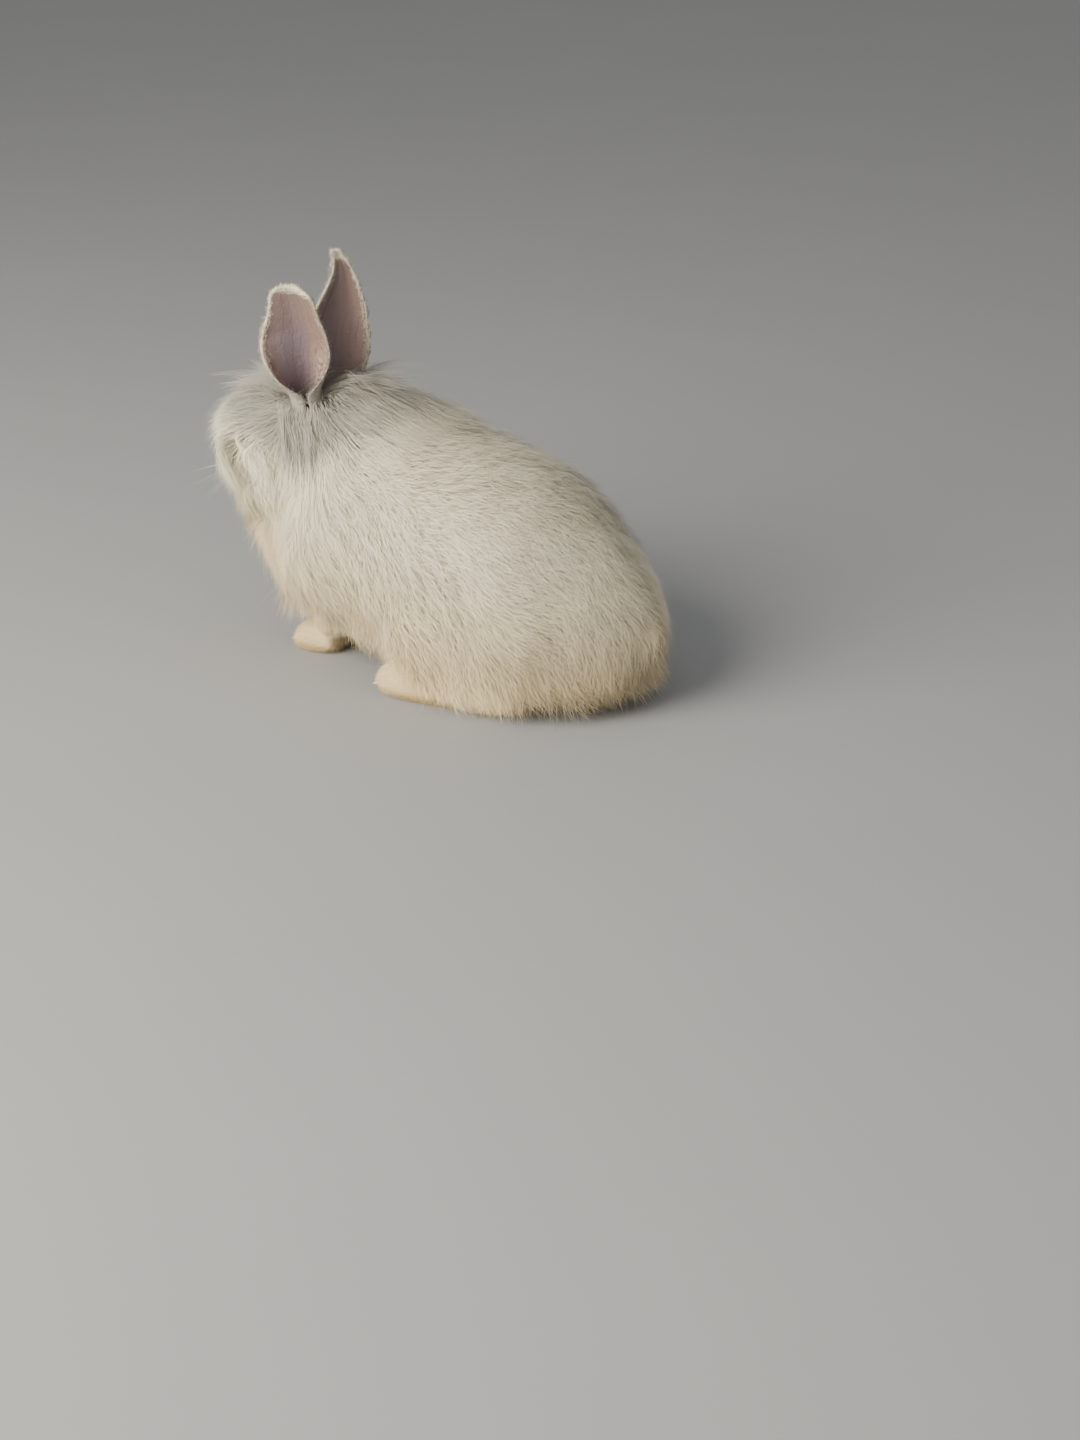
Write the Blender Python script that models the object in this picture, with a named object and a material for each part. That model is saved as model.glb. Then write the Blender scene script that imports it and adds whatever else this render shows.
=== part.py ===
"""A lionhead rabbit, life size, as a still museum model: it sits with its head turned a little to its right.

Sizes are millimetres, turned into metres by MM. The rabbit faces -X, its left side is -Y, and the floor is Z = 0.
The flesh is modelled whole, as a core half way up its coat. Tapered locks are set on it along the lie of the
coat and joined to it, and it is then parted into head, neck, torso, thighs and tail with thin cuts.
"""

import math
import random

import bmesh
import bpy
import numpy as np
from mathutils import Matrix, Vector
from mathutils.bvhtree import BVHTree

MM = 0.001
GAP = 0.3

# Trunk sections from rump to breast: x, floor side z, back side z, half width, sideways shift
TRUNK = (
    (108, 34, 46, 8, 0),
    (105, 22, 56, 19, 0),
    (98, 13, 67, 30, 0),
    (87, 7, 80, 41, -1),
    (70, 4, 94, 54, -1),
    (49, 3, 110, 64, -1),
    (26, 3, 120, 66, 0),
    (2, 4, 127, 63, 0),
    (-22, 6, 135, 58, 0),
    (-46, 8, 144, 53, 1),
    (-68, 11, 148, 47, 2),
    (-86, 15, 140, 43, 3),
    (-105, 22, 118, 35, 4),
    (-117, 31, 106, 27, 4),
    (-127, 42, 98, 19, 4),
    (-134, 52, 91, 12, 4),
    (-139, 61, 83, 5, 4),
)
TRUNK_SQUARE = 2.1
TRUNK_SQUARE_RUMP = 1.75
RUMP_FROM = 30
RUMP_TO = 85
TRUNK_SQUARE_LOW = 2.7

# Head: where it joins the neck, its turn to the right, its nod,
# and its sections from nape to nose: forward, low, high, half width
HEAD_AT = Vector((-89, 2, 117.5))
HEAD_TURN = math.radians(9)
HEAD_NOD = math.radians(21)
HEAD = (
    (-12, -10, 9, 12),
    (-6, -17, 17, 19),
    (4, -22, 22, 24.5),
    (16, -25.5, 27.5, 28),
    (29, -26.5, 29.5, 29.5),
    (41, -26, 28.0, 27.5),
    (52, -24.5, 23.5, 23.5),
    (62, -22, 18.5, 19),
    (70, -19, 14.0, 15.5),
    (76, -16, 11.0, 12.5),
    (79, -12, 8.0, 9),
)
HEAD_SQUARE = 2.1
EYE_AT = (38, 20.3, 6.5)
EYE_RADIUS = 7.8
LID_THICK = 1.6
LID_RISE = 5.2
LID_RING = 6.6
EYE_MOUND_AT = (37, 18.3, 6.5)
EYE_MOUND_RADII = (15, 10, 12)
PAD_AT = (72, 7.6, -7.0)
PAD_RADII = (9.6, 8.4, 8.2)
CHIN_AT = (67, 0, -17)
CHIN_RADII = (9, 8, 5)
NOSE_AT = (77.2, 0, 2.4)
NOSE_RADII = (3.4, 4.6, 3.4)
MOUTH_LINE = ((82, 0, -9), (80, 5, -12), (74, 11, -14), (66, 17, -13))
MOUTH_RADIUS = 1.4
MOUTH_FLAT = 0.6
CLEFT_LINE = ((84, 0, -1.5), (84, 0, -5), (83, 0, -9))
CLEFT_RADIUS = 1.0
NOSTRIL_AT = (80, 2.7, 2.6)
NOSTRIL_RADII = (2.4, 1.8, 0.8)

# Neck: sections from inside the shoulders to inside the head
NECK_FROM = Vector((-44, 2, 95))
NECK_RADII = (47, 46, 43, 39, 31)
NECK_TO_HEAD = 14

# Ears: base, tip and the way each opens, in the rabbit's frame, and the leaf rolled about its long axis
EAR_BASE = {-1: Vector((-95, -9, 129)), 1: Vector((-96, 12, 130))}
EAR_TIP = {-1: Vector((-90, -30, 198)), 1: Vector((-95, 23, 206))}
EAR_OPEN = {-1: Vector((0.12, -1, 0)), 1: Vector((0.9, -0.45, 0))}
EAR_ROWS = 14
EAR_COLUMNS = 8
EAR_WIDTH = {
    -1: ((0, 36), (0.08, 41), (0.24, 46), (0.39, 46.5), (0.56, 43), (0.69, 35.7), (0.835, 25.5), (0.93, 18.5), (0.97, 13),
         (1, 6)),
    1: ((0, 36), (0.08, 41), (0.24, 46), (0.32, 48), (0.45, 45), (0.61, 35), (0.75, 22), (0.86, 12.5), (0.93, 8.5),
        (1, 3)),
}
EAR_WRAP = (
    (0, 250), (0.08, 215), (0.24, 165), (0.39, 135), (0.56, 112), (0.69, 98), (0.835, 80), (0.93, 66), (1, 50)
)
EAR_LEAN = {-1: 0, 1: 5.5}
EAR_BOW = 4
EAR_BACK = 4
EAR_THICK = 2.4
EAR_RIM_THICK = 1.5

# Limbs
THIGH_AT = Vector((37, 42, 45))
THIGH_RADII = Vector((41, 24, 38))
KNEE_AT = Vector((4, 47, 38))
KNEE_RADII = Vector((28, 18, 28))
FOOT_HEEL = Vector((56, 46, 9))
FOOT_TOE = Vector((-27, 46, 6.5))
FOOT_STEPS = (0, 0.06, 0.2, 0.45, 0.7, 0.88, 0.97, 1)
FOOT_HALF_WIDTHS = (4, 8, 9.5, 10, 11.5, 12, 9.5, 5)
FOOT_FLAT = 0.8
SHOULDER_AT = Vector((-64, 33, 60))
SHOULDER_RADII = Vector((32, 20, 36))
FORELEG_TOP = Vector((-67, 21, 48))
WRIST_AT = Vector((-77, 18, 15))
FORELEG_RADII = (14, 13, 11.5, 10.5)
FOREPAW_HEEL = Vector((-74, 18, 7))
FOREPAW_TOE = Vector((-100, 15, 5.5))
PAW_STEPS = (0, 0.1, 0.35, 0.65, 0.88, 1)
PAW_HALF_WIDTHS = (6, 9.5, 10, 10.5, 9, 4)
PAW_FLAT = 0.78
# Toes: place across the foot, radii, how far back the outer ones lie; claws: root, drop to the tip, thickness
TOE_SPREAD = (-0.62, -0.2, 0.22, 0.64)
TOE_RADII = (6.5, 2.9, 4.2)
TOE_INSET = 4
TOE_ARC = 5
CLAW_ROOT_LOW = 0.6
CLAW_DROP = 1.4
CLAW_LONG = 6.0
CLAW_RADII = (1.3, 1.0, 0.25)
TAIL_ROOT = Vector((93, 0, 46))
TAIL_TIP = Vector((105, 0, 25))
TAIL_RADII = (10, 15, 16.5, 14.5, 8)

# Where the whole is parted
TAIL_MIDDLE = Vector((106, 0, 33))
TAIL_CUT_RADIUS = 24
HEAD_CUT_AT = (70, 0, 45)
HEAD_CUT_RADIUS = 89
HEAD_CUT_LOW = -28
NECK_CUT_HIGH = Vector((-37, 0, 140))
NECK_CUT_LOW = Vector((-112, 0, 42))
THIGH_CUT_RADII = (47, 43)
THIGH_CUT_Y = 33
REACH = 400

VOXEL = 2.6
SMOOTH_ROUNDS = 10
BODY_TRIANGLES = 2000
FACE_WEIGHT = 0.2
FACE_WEIGHT_POWER = 4e-4
FACE_FROM = 22

# How far the core lies inside the tips of the coat
CORE_DEPTH = 6.0
CORE_DEPTH_NECK = 8.0
CORE_DEPTH_FACE = 0.8
CORE_DEPTH_BELLY = 2.5

# Locks: length, half width, height of the tip over the core, distance between roots,
# and how late they rise: under 1 they stand up at the root, over 1 they lift at the tip
BODY_LOCK = (48, 12.5, 11, 28, 1.1)
RUMP_LOCK = (36, 10.5, 9.5, 22, 1.1)
NAPE_LOCK = (38, 6.8, 13, 12.6, 0.7)
MANE_LOCK = (34, 6.8, 13, 13.2, 0.9)
RUFF_LOCK = (30, 6.3, 12, 12.8, 1.1)
FORELOCK = (20, 5.0, 10, 9, 0.7)
CROWN_LOCK = (25, 5.5, 21, 9.5, 0.6)
CHEEK_LOCK = (23, 5.0, 10, 10, 0.9)
TAIL_LOCK = (20, 6.0, 5, 13, 1.2)
LOCK_SINK = 4.0
LOCK_FLAT = 0.26
LOCK_VARY = 0.22
LOCK_TRIES = 9000
FLOOR_CLEAR = 3.0
FLOOR_GAP = 0.8

COAT_WHITE = (0.80, 0.77, 0.70)
PAW_WHITE = (0.74, 0.69, 0.58)
EAR_PINK = (0.60, 0.40, 0.40)
EYE_BROWN = (0.030, 0.018, 0.012)


def clear_scene():
    for thing in list(bpy.data.objects):
        bpy.data.objects.remove(thing)


def make_object(name, mesh):
    made = bpy.data.objects.new(name, mesh)
    bpy.context.scene.collection.objects.link(made)
    return made


def face_out(mesh):
    work = bmesh.new()
    work.from_mesh(mesh)
    bmesh.ops.recalc_face_normals(work, faces=work.faces)
    if work.calc_volume(signed=True) < 0:
        bmesh.ops.reverse_faces(work, faces=work.faces)
    work.to_mesh(mesh)
    work.free()


def closed_object(name, points, faces):
    """An object in metres from points in millimetres, with its faces pointing out."""
    mesh = bpy.data.meshes.new(name)
    mesh.from_pydata([tuple(Vector(p) * MM) for p in points], [], faces)
    face_out(mesh)
    return make_object(name, mesh)


def interpolate(table, at):
    """The value at one place of a table of (place, value)."""
    return float(np.interp(at, [row[0] for row in table], [row[1] for row in table]))


def ring(half_width, low, high, square, sides, square_low=None):
    """Points of one section, across and up: a superellipse that may be squarer below."""
    middle = (low + high) / 2
    half_height = (high - low) / 2
    found = []
    for k in range(sides):
        angle = 2 * math.pi * k / sides
        c = math.cos(angle)
        s = math.sin(angle)
        power = 2 / (square_low if square_low and s < 0 else square)
        across = half_width * math.copysign(abs(c) ** power, c)
        up = middle + half_height * math.copysign(abs(s) ** power, s)
        found.append((across, up))
    return found


def loft(name, rings):
    """A closed solid through rings of points, with a fan at each end."""
    sides = len(rings[0])
    points = [p for r in rings for p in r]
    faces = []
    for i in range(len(rings) - 1):
        for k in range(sides):
            a = i * sides + k
            b = i * sides + (k + 1) % sides
            faces.append((a, b, b + sides, a + sides))
    for start in (0, (len(rings) - 1) * sides):
        points.append(sum((Vector(p) for p in points[start:start + sides]), Vector()) / sides)
        hub = len(points) - 1
        faces += [(start + k, start + (k + 1) % sides, hub) for k in range(sides)]
    return closed_object(name, points, faces)


def ellipsoid(name, at, radii, turn=Matrix.Identity(3), segments=24):
    mesh = bpy.data.meshes.new(name)
    work = bmesh.new()
    bmesh.ops.create_uvsphere(work, u_segments=segments, v_segments=segments // 2, radius=1)
    for v in work.verts:
        scaled = Vector((v.co.x * radii[0], v.co.y * radii[1], v.co.z * radii[2]))
        v.co = (turn @ scaled + Vector(at)) * MM
    work.to_mesh(mesh)
    work.free()
    return make_object(name, mesh)


def tube(name, centres, radii, flat=1.0, sides=14):
    """Round sections along a chain of centres. flat squeezes them across the chain's upward side."""
    rings = []
    for i, centre in enumerate(centres):
        along = (centres[min(i + 1, len(centres) - 1)] - centres[max(i - 1, 0)]).normalized()
        side = along.cross(Vector((0, 0, 1)))
        if side.length < 0.2:
            side = along.cross(Vector((1, 0, 0)))
        side.normalize()
        up = side.cross(along)
        angles = [2 * math.pi * k / sides for k in range(sides)]
        rings.append([
            centre + side * radii[i] * math.cos(a) + up * radii[i] * flat * math.sin(a)
            for a in angles
        ])
    return loft(name, rings)


def head_turn():
    """Columns are the head's forward, left and up directions in the rabbit's frame."""
    forward = Vector((-math.cos(HEAD_TURN), math.sin(HEAD_TURN), 0)) * math.cos(HEAD_NOD)
    forward.z = -math.sin(HEAD_NOD)
    left = Vector((-math.sin(HEAD_TURN), -math.cos(HEAD_TURN), 0))
    return Matrix((forward, left, forward.cross(left))).transposed()


def in_head(forward, left, up):
    return HEAD_AT + head_turn() @ Vector((forward, left, up))


def sided(at, side):
    return Vector((at[0], at[1] * side, at[2]))


def trunk():
    rings = []
    for x, low, high, half, shift in TRUNK:
        share = min(max((x - RUMP_FROM) / (RUMP_TO - RUMP_FROM), 0), 1)
        square = TRUNK_SQUARE + (TRUNK_SQUARE_RUMP - TRUNK_SQUARE) * share
        section = ring(half, low, high, square, 32, TRUNK_SQUARE_LOW)
        rings.append([Vector((x, shift + across, up)) for across, up in section])
    return loft("trunk_form", rings)


def skull():
    rings = []
    for forward, low, high, half in HEAD:
        section = ring(half, low, high, HEAD_SQUARE, 28)
        rings.append([in_head(forward, across, up) for across, up in section])
    return loft("skull_form", rings)


def neck_form():
    end = in_head(NECK_TO_HEAD, 0, -2)
    steps = len(NECK_RADII) - 1
    centres = [NECK_FROM.lerp(end, i / steps) for i in range(steps + 1)]
    return tube("neck_form", centres, NECK_RADII)


def on_side(at, side):
    """A place given for the head's left, on either side: side is -1 on the left, where Y is negative."""
    return in_head(at[0], -at[1] * side, at[2])


def head_pad(name, at, radii, side=-1, segments=16):
    return ellipsoid(name, on_side(at, side), radii, head_turn(), segments)


def body_forms():
    forms = [trunk(), skull(), neck_form(), tail_form()]
    for side in (-1, 1):
        forms.append(ellipsoid("thigh_form", sided(THIGH_AT, side), THIGH_RADII))
        forms.append(ellipsoid("knee_form", sided(KNEE_AT, side), KNEE_RADII))
        forms.append(ellipsoid("shoulder_form", sided(SHOULDER_AT, side), SHOULDER_RADII))
        forms.append(head_pad("whisker_pad", PAD_AT, PAD_RADII, side))
        forms.append(head_pad("eye_mound", EYE_MOUND_AT, EYE_MOUND_RADII, side))
    forms.append(head_pad("chin_form", CHIN_AT, CHIN_RADII))
    return forms


def join(name, parts):
    """One object that holds the meshes of several, which are removed."""
    work = bmesh.new()
    for part in parts:
        work.from_mesh(part.data)
        bpy.data.objects.remove(part)
    mesh = bpy.data.meshes.new(name)
    work.to_mesh(mesh)
    work.free()
    return make_object(name, mesh)


def copy_of(thing, name):
    return make_object(name, thing.data.copy())


def apply_modifiers(thing):
    graph = bpy.context.evaluated_depsgraph_get()
    mesh = bpy.data.meshes.new_from_object(thing.evaluated_get(graph))
    thing.modifiers.clear()
    thing.data = mesh
    return thing


def melt(thing):
    """Turns overlapping closed forms into one smooth skin."""
    remesh = thing.modifiers.new("melt", "REMESH")
    remesh.mode = "VOXEL"
    remesh.voxel_size = VOXEL * MM
    smooth = thing.modifiers.new("soften", "SMOOTH")
    smooth.factor = 0.6
    smooth.iterations = SMOOTH_ROUNDS
    apply_modifiers(thing)
    thing.modifiers.new("corners", "TRIANGULATE")
    return apply_modifiers(thing)


def thin_out(thing, triangles):
    """Lowers the count of triangles, least on the face."""
    group = thing.vertex_groups.new(name="thinned")
    for v in thing.data.vertices:
        at = v.co / MM
        face = zone_of(at) == "head" and head_place(at).x > FACE_FROM
        group.add([v.index], FACE_WEIGHT if face else 1.0, "REPLACE")
    thin = thing.modifiers.new("thin", "DECIMATE")
    thin.ratio = min(1.0, triangles / len(thing.data.polygons))
    thin.vertex_group = group.name
    thin.vertex_group_factor = FACE_WEIGHT_POWER
    apply_modifiers(thing)
    thing.vertex_groups.clear()
    return thing


def boolean(thing, operation, other, solver="MANIFOLD"):
    """Cuts or joins with another object, which is removed."""
    step = thing.modifiers.new(operation.lower(), "BOOLEAN")
    step.operation = operation
    step.solver = solver
    step.object = other
    apply_modifiers(thing)
    bpy.data.objects.remove(other)
    return thing


def unite(thing, others, solver="MANIFOLD"):
    """Joins a collection of closed mesh objects to one object, and removes them."""
    group = bpy.data.collections.new("pieces")
    bpy.context.scene.collection.children.link(group)
    for other in others:
        bpy.context.scene.collection.objects.unlink(other)
        group.objects.link(other)
    step = thing.modifiers.new("union", "BOOLEAN")
    step.operation = "UNION"
    step.solver = solver
    step.operand_type = "COLLECTION"
    step.collection = group
    apply_modifiers(thing)
    for other in others:
        bpy.data.objects.remove(other)
    bpy.data.collections.remove(group)
    return thing


def keep_largest(thing):
    """Drops every closed surface but the one with the largest box."""
    work = bmesh.new()
    work.from_mesh(thing.data)
    left = set(work.faces)
    groups = []
    while left:
        first = left.pop()
        group = {first}
        edge = [first]
        while edge:
            face = edge.pop()
            for side in face.edges:
                for near in side.link_faces:
                    if near in left:
                        left.discard(near)
                        group.add(near)
                        edge.append(near)
        groups.append(group)
    groups.sort(key=surface_size)
    for group in groups[:-1]:
        bmesh.ops.delete(work, geom=list(group), context="FACES")
    work.to_mesh(thing.data)
    work.free()
    return thing


def surface_size(faces):
    points = np.array([tuple(v.co) for face in faces for v in face.verts])
    return float(np.prod(points.max(0) - points.min(0)))


def trim_plane(thing, at, normal):
    """Removes what lies on the side that the normal points to, and fills the cut flat."""
    work = bmesh.new()
    work.from_mesh(thing.data)
    everything = list(work.verts) + list(work.edges) + list(work.faces)
    cut = bmesh.ops.bisect_plane(
        work, geom=everything, plane_co=Vector(at) * MM, plane_no=normal, clear_outer=True, dist=1e-7
    )
    rim = [e for e in cut["geom_cut"] if isinstance(e, bmesh.types.BMEdge)]
    bmesh.ops.holes_fill(work, edges=rim)
    bmesh.ops.triangulate(work, faces=work.faces)
    bmesh.ops.recalc_face_normals(work, faces=work.faces)
    work.to_mesh(thing.data)
    work.free()
    return thing


def head_region(name, swell):
    """A ball round the head, cut off below the jaw. swell makes it larger all round."""
    radius = HEAD_CUT_RADIUS + swell
    ball = ellipsoid(name, in_head(*HEAD_CUT_AT), (radius, radius, radius), head_turn(), 28)
    return trim_plane(ball, in_head(0, 0, HEAD_CUT_LOW - swell), -head_turn().col[2])


def slab(name, at, normal):
    """A large box whose one face lies on a plane, with the box behind it."""
    mesh = bpy.data.meshes.new(name)
    work = bmesh.new()
    bmesh.ops.create_cube(work, size=REACH * MM)
    turn = normal.to_track_quat("Z", "X").to_matrix()
    middle = Vector(at) - normal * REACH / 2
    for v in work.verts:
        v.co = turn @ v.co + middle * MM
    work.to_mesh(mesh)
    work.free()
    return make_object(name, mesh)


def thigh_region(name, side, swell):
    """An upright elliptical disc that takes the haunch from the torso."""
    rings = []
    for y in (THIGH_CUT_Y - swell, REACH / 2):
        angles = [2 * math.pi * k / 40 for k in range(40)]
        rings.append([
            Vector((
                THIGH_AT.x + (THIGH_CUT_RADII[0] + swell) * math.cos(a),
                y * side,
                THIGH_AT.z + (THIGH_CUT_RADII[1] + swell) * math.sin(a),
            ))
            for a in angles
        ])
    return loft(name, rings)


def foot_form(name, heel, toe, steps, half_widths, flat, side, swell=0.0):
    centres = [sided(heel, side).lerp(sided(toe, side), s) for s in steps]
    along = (centres[-1] - centres[0]).normalized()
    centres[0] -= along * swell
    centres[-1] += along * swell
    return tube(name, centres, [w + swell for w in half_widths], flat)


def toes(heel, toe, half_width, side):
    """Four toes fanned across the end of a foot, each with its claw."""
    made = []
    start = sided(heel, side)
    end = sided(toe, side)
    along = (end - start).normalized()
    across = Vector((along.y, -along.x, 0)).normalized()
    turn = Matrix((along, across, along.cross(across))).transposed()
    for spread in TOE_SPREAD:
        ball = end - along * (TOE_INSET + abs(spread) * TOE_ARC) + across * half_width * spread
        made.append(ellipsoid("toe", ball, TOE_RADII, turn, 8))
        root = ball + along * TOE_INSET - Vector((0, 0, CLAW_ROOT_LOW))
        tip = root + along * CLAW_LONG - Vector((0, 0, CLAW_DROP))
        made.append(tube("claw", [root, root.lerp(tip, 0.6), tip], CLAW_RADII, 1.0, 6))
    return made


def hind_foot(side):
    name = "hindfoot_left" if side < 0 else "hindfoot_right"
    foot = foot_form(name, FOOT_HEEL, FOOT_TOE, FOOT_STEPS, FOOT_HALF_WIDTHS, FOOT_FLAT, side)
    unite(foot, toes(FOOT_HEEL, FOOT_TOE, FOOT_HALF_WIDTHS[5], side))
    return trim_plane(foot, (0, 0, 0), Vector((0, 0, -1)))


def foreleg_centres(side):
    top = sided(FORELEG_TOP, side)
    wrist = sided(WRIST_AT, side)
    return [top, top.lerp(wrist, 0.35), top.lerp(wrist, 0.75), wrist]


def foreleg(name, side, swell=0.0):
    radii = [r + swell for r in FORELEG_RADII]
    centres = foreleg_centres(side)
    along = (centres[-1] - centres[0]).normalized()
    centres[0] -= along * swell
    centres[-1] += along * swell
    return tube(name, centres, radii)


def forepaw(side):
    name = "forepaw_left" if side < 0 else "forepaw_right"
    paw = foot_form(name, FOREPAW_HEEL, FOREPAW_TOE, PAW_STEPS, PAW_HALF_WIDTHS, PAW_FLAT, side)
    unite(paw, toes(FOREPAW_HEEL, FOREPAW_TOE, PAW_HALF_WIDTHS[4], side))
    return trim_plane(paw, (0, 0, 0), Vector((0, 0, -1)))


def tail_form():
    steps = len(TAIL_RADII) - 1
    centres = [TAIL_ROOT.lerp(TAIL_TIP, i / steps) for i in range(steps + 1)]
    return tube("tail_form", centres, TAIL_RADII)


def tail_region(name, swell):
    radius = TAIL_CUT_RADIUS + swell
    return ellipsoid(name, TAIL_MIDDLE, (radius, radius, radius), Matrix.Identity(3), 16)


def ear_section(side, t, thickness):
    """Outer and inner points of the rolled leaf at one height."""
    base = EAR_BASE[side]
    axis = (EAR_TIP[side] - base).normalized()
    open_way = EAR_OPEN[side] - axis * EAR_OPEN[side].dot(axis)
    open_way.normalize()
    across = axis.cross(open_way)
    wrap = math.radians(interpolate(EAR_WRAP, t))
    radius = interpolate(EAR_WIDTH[side], t) / wrap
    spine = base.lerp(EAR_TIP[side], t) - open_way * (EAR_BOW * math.sin(math.pi * t) + EAR_BACK)
    spine += across * (EAR_LEAN[side] * math.sin(math.pi * t ** 3))
    outer = []
    inner = []
    for k in range(EAR_COLUMNS + 1):
        share = 2 * k / EAR_COLUMNS - 1
        angle = wrap / 2 * share
        away = across * math.sin(angle) - open_way * math.cos(angle)
        at = spine + open_way * radius + away * radius
        half = thickness(abs(share)) / 2
        outer.append(at + away * half)
        inner.append(at - away * half)
    return outer, inner


def ear(name, side, swell=0.0):
    """A leaf that is a tube with a slit at its base and an open spoon above."""

    def thickness(share):
        return EAR_THICK + (EAR_RIM_THICK - EAR_THICK) * share ** 3 + 2 * swell

    points = []
    for row in range(EAR_ROWS):
        t = 1 - (1 - row / (EAR_ROWS - 1)) ** 1.25
        outer, inner = ear_section(side, t, thickness)
        points += outer + inner
    wide = EAR_COLUMNS + 1
    faces = []

    def quad(a, b, c, d):
        faces.append((a, b, c))
        faces.append((a, c, d))

    for row in range(EAR_ROWS - 1):
        low = row * 2 * wide
        high = low + 2 * wide
        for k in range(EAR_COLUMNS):
            quad(low + k, low + k + 1, high + k + 1, high + k)
            quad(low + wide + k, low + wide + k + 1, high + wide + k + 1, high + wide + k)
        for k in (0, EAR_COLUMNS):
            quad(low + k, low + wide + k, high + wide + k, high + k)
    for low in (0, (EAR_ROWS - 1) * 2 * wide):
        for k in range(EAR_COLUMNS):
            quad(low + k, low + k + 1, low + wide + k + 1, low + wide + k)
    return closed_object(name, points, faces)


def lids(side):
    """A rim round the eye, in one closed ring."""
    middle = on_side(EYE_AT, side)
    turn = head_turn()
    outward = turn.col[1] * -side
    ring_steps = 16
    section = 5
    points = []
    for i in range(ring_steps):
        a = 2 * math.pi * i / ring_steps
        spoke = turn.col[0] * math.cos(a) + turn.col[2] * math.sin(a) * 0.86
        for k in range(section):
            b = 2 * math.pi * k / section
            out = LID_RING + LID_THICK * math.cos(b)
            points.append(middle + spoke * out + outward * (LID_RISE + LID_THICK * math.sin(b)))
    faces = []
    for i in range(ring_steps):
        for k in range(section):
            a = i * section + k
            b = i * section + (k + 1) % section
            c = (i + 1) % ring_steps * section + (k + 1) % section
            d = (i + 1) % ring_steps * section + k
            faces.append((a, b, c, d))
    return closed_object("lids", points, faces)


def skin_groove(tree, line, radius, flat, side):
    """A rod that lies half sunk along a line on the skin, to cut a groove there."""
    centres = [tree.find_nearest(on_side(at, side) * MM)[0] / MM for at in line]
    return tube("groove", centres, [radius] * len(centres), flat, 6)


def carve_face(head):
    """Adds nose and lids to the head, and cuts its sockets, nostrils and mouth."""
    tree = core_tree(head)
    grooves = [skin_groove(tree, CLEFT_LINE, CLEFT_RADIUS, 1.0, -1)]
    grooves += [skin_groove(tree, MOUTH_LINE, MOUTH_RADIUS, MOUTH_FLAT, side) for side in (-1, 1)]
    unite(head, [head_pad("nose", NOSE_AT, NOSE_RADII, -1, 12), lids(-1), lids(1)])
    for side in (-1, 1):
        grooves.append(head_pad("socket", EYE_AT, [EYE_RADIUS + GAP] * 3, side, 16))
        grooves.append(head_pad("nostril", NOSTRIL_AT, NOSTRIL_RADII, side, 8))
    for cutter in grooves:
        boolean(head, "DIFFERENCE", cutter)
    return head


def side_name(base, side):
    return base + ("_left" if side < 0 else "_right")


def smooth_step(low, high, at):
    share = min(1.0, max(0.0, (at - low) / (high - low)))
    return share * share * (3 - 2 * share)


def head_place(at):
    """A point of the rabbit's frame as the head's forward, left and up."""
    return head_turn().transposed() @ (at - HEAD_AT)


def neck_cut_normal():
    normal = (NECK_CUT_HIGH - NECK_CUT_LOW).cross(Vector((0, 1, 0))).normalized()
    return -normal if normal.x > 0 else normal


def zone_of(at):
    """The node that a point of the coat belongs to."""
    local = head_place(at)
    if (local - Vector(HEAD_CUT_AT)).length < HEAD_CUT_RADIUS and local.z > HEAD_CUT_LOW:
        return "head"
    if (at - NECK_CUT_LOW).dot(neck_cut_normal()) > 0:
        return "neck"
    if (at - TAIL_MIDDLE).length < TAIL_CUT_RADIUS:
        return "tail"
    return "torso"


def core_depth(at, normal):
    zone = zone_of(at)
    depth = CORE_DEPTH
    if zone == "head":
        share = smooth_step(4, 34, head_place(at).x)
        depth = CORE_DEPTH + (CORE_DEPTH_FACE - CORE_DEPTH) * share
    elif zone == "neck":
        depth = CORE_DEPTH_NECK
    belly = smooth_step(-0.2, -0.8, normal.z) * smooth_step(30, 15, at.z)
    return depth + (CORE_DEPTH_BELLY - depth) * belly


def sink_core(core):
    """Moves the skin in from the coat's tips, by a depth that is smoothed over its neighbours."""
    mesh = core.data
    work = bmesh.new()
    work.from_mesh(mesh)
    work.verts.ensure_lookup_table()
    depths = [core_depth(v.co / MM, v.normal) for v in work.verts]
    for _ in range(12):
        depths = [
            (depths[v.index] + sum(depths[e.other_vert(v).index] for e in v.link_edges)) / (1 + len(v.link_edges))
            for v in work.verts
        ]
    moves = [v.normal * -depths[v.index] * MM for v in work.verts]
    for v in work.verts:
        v.co += moves[v.index]
    work.to_mesh(mesh)
    work.free()


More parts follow.
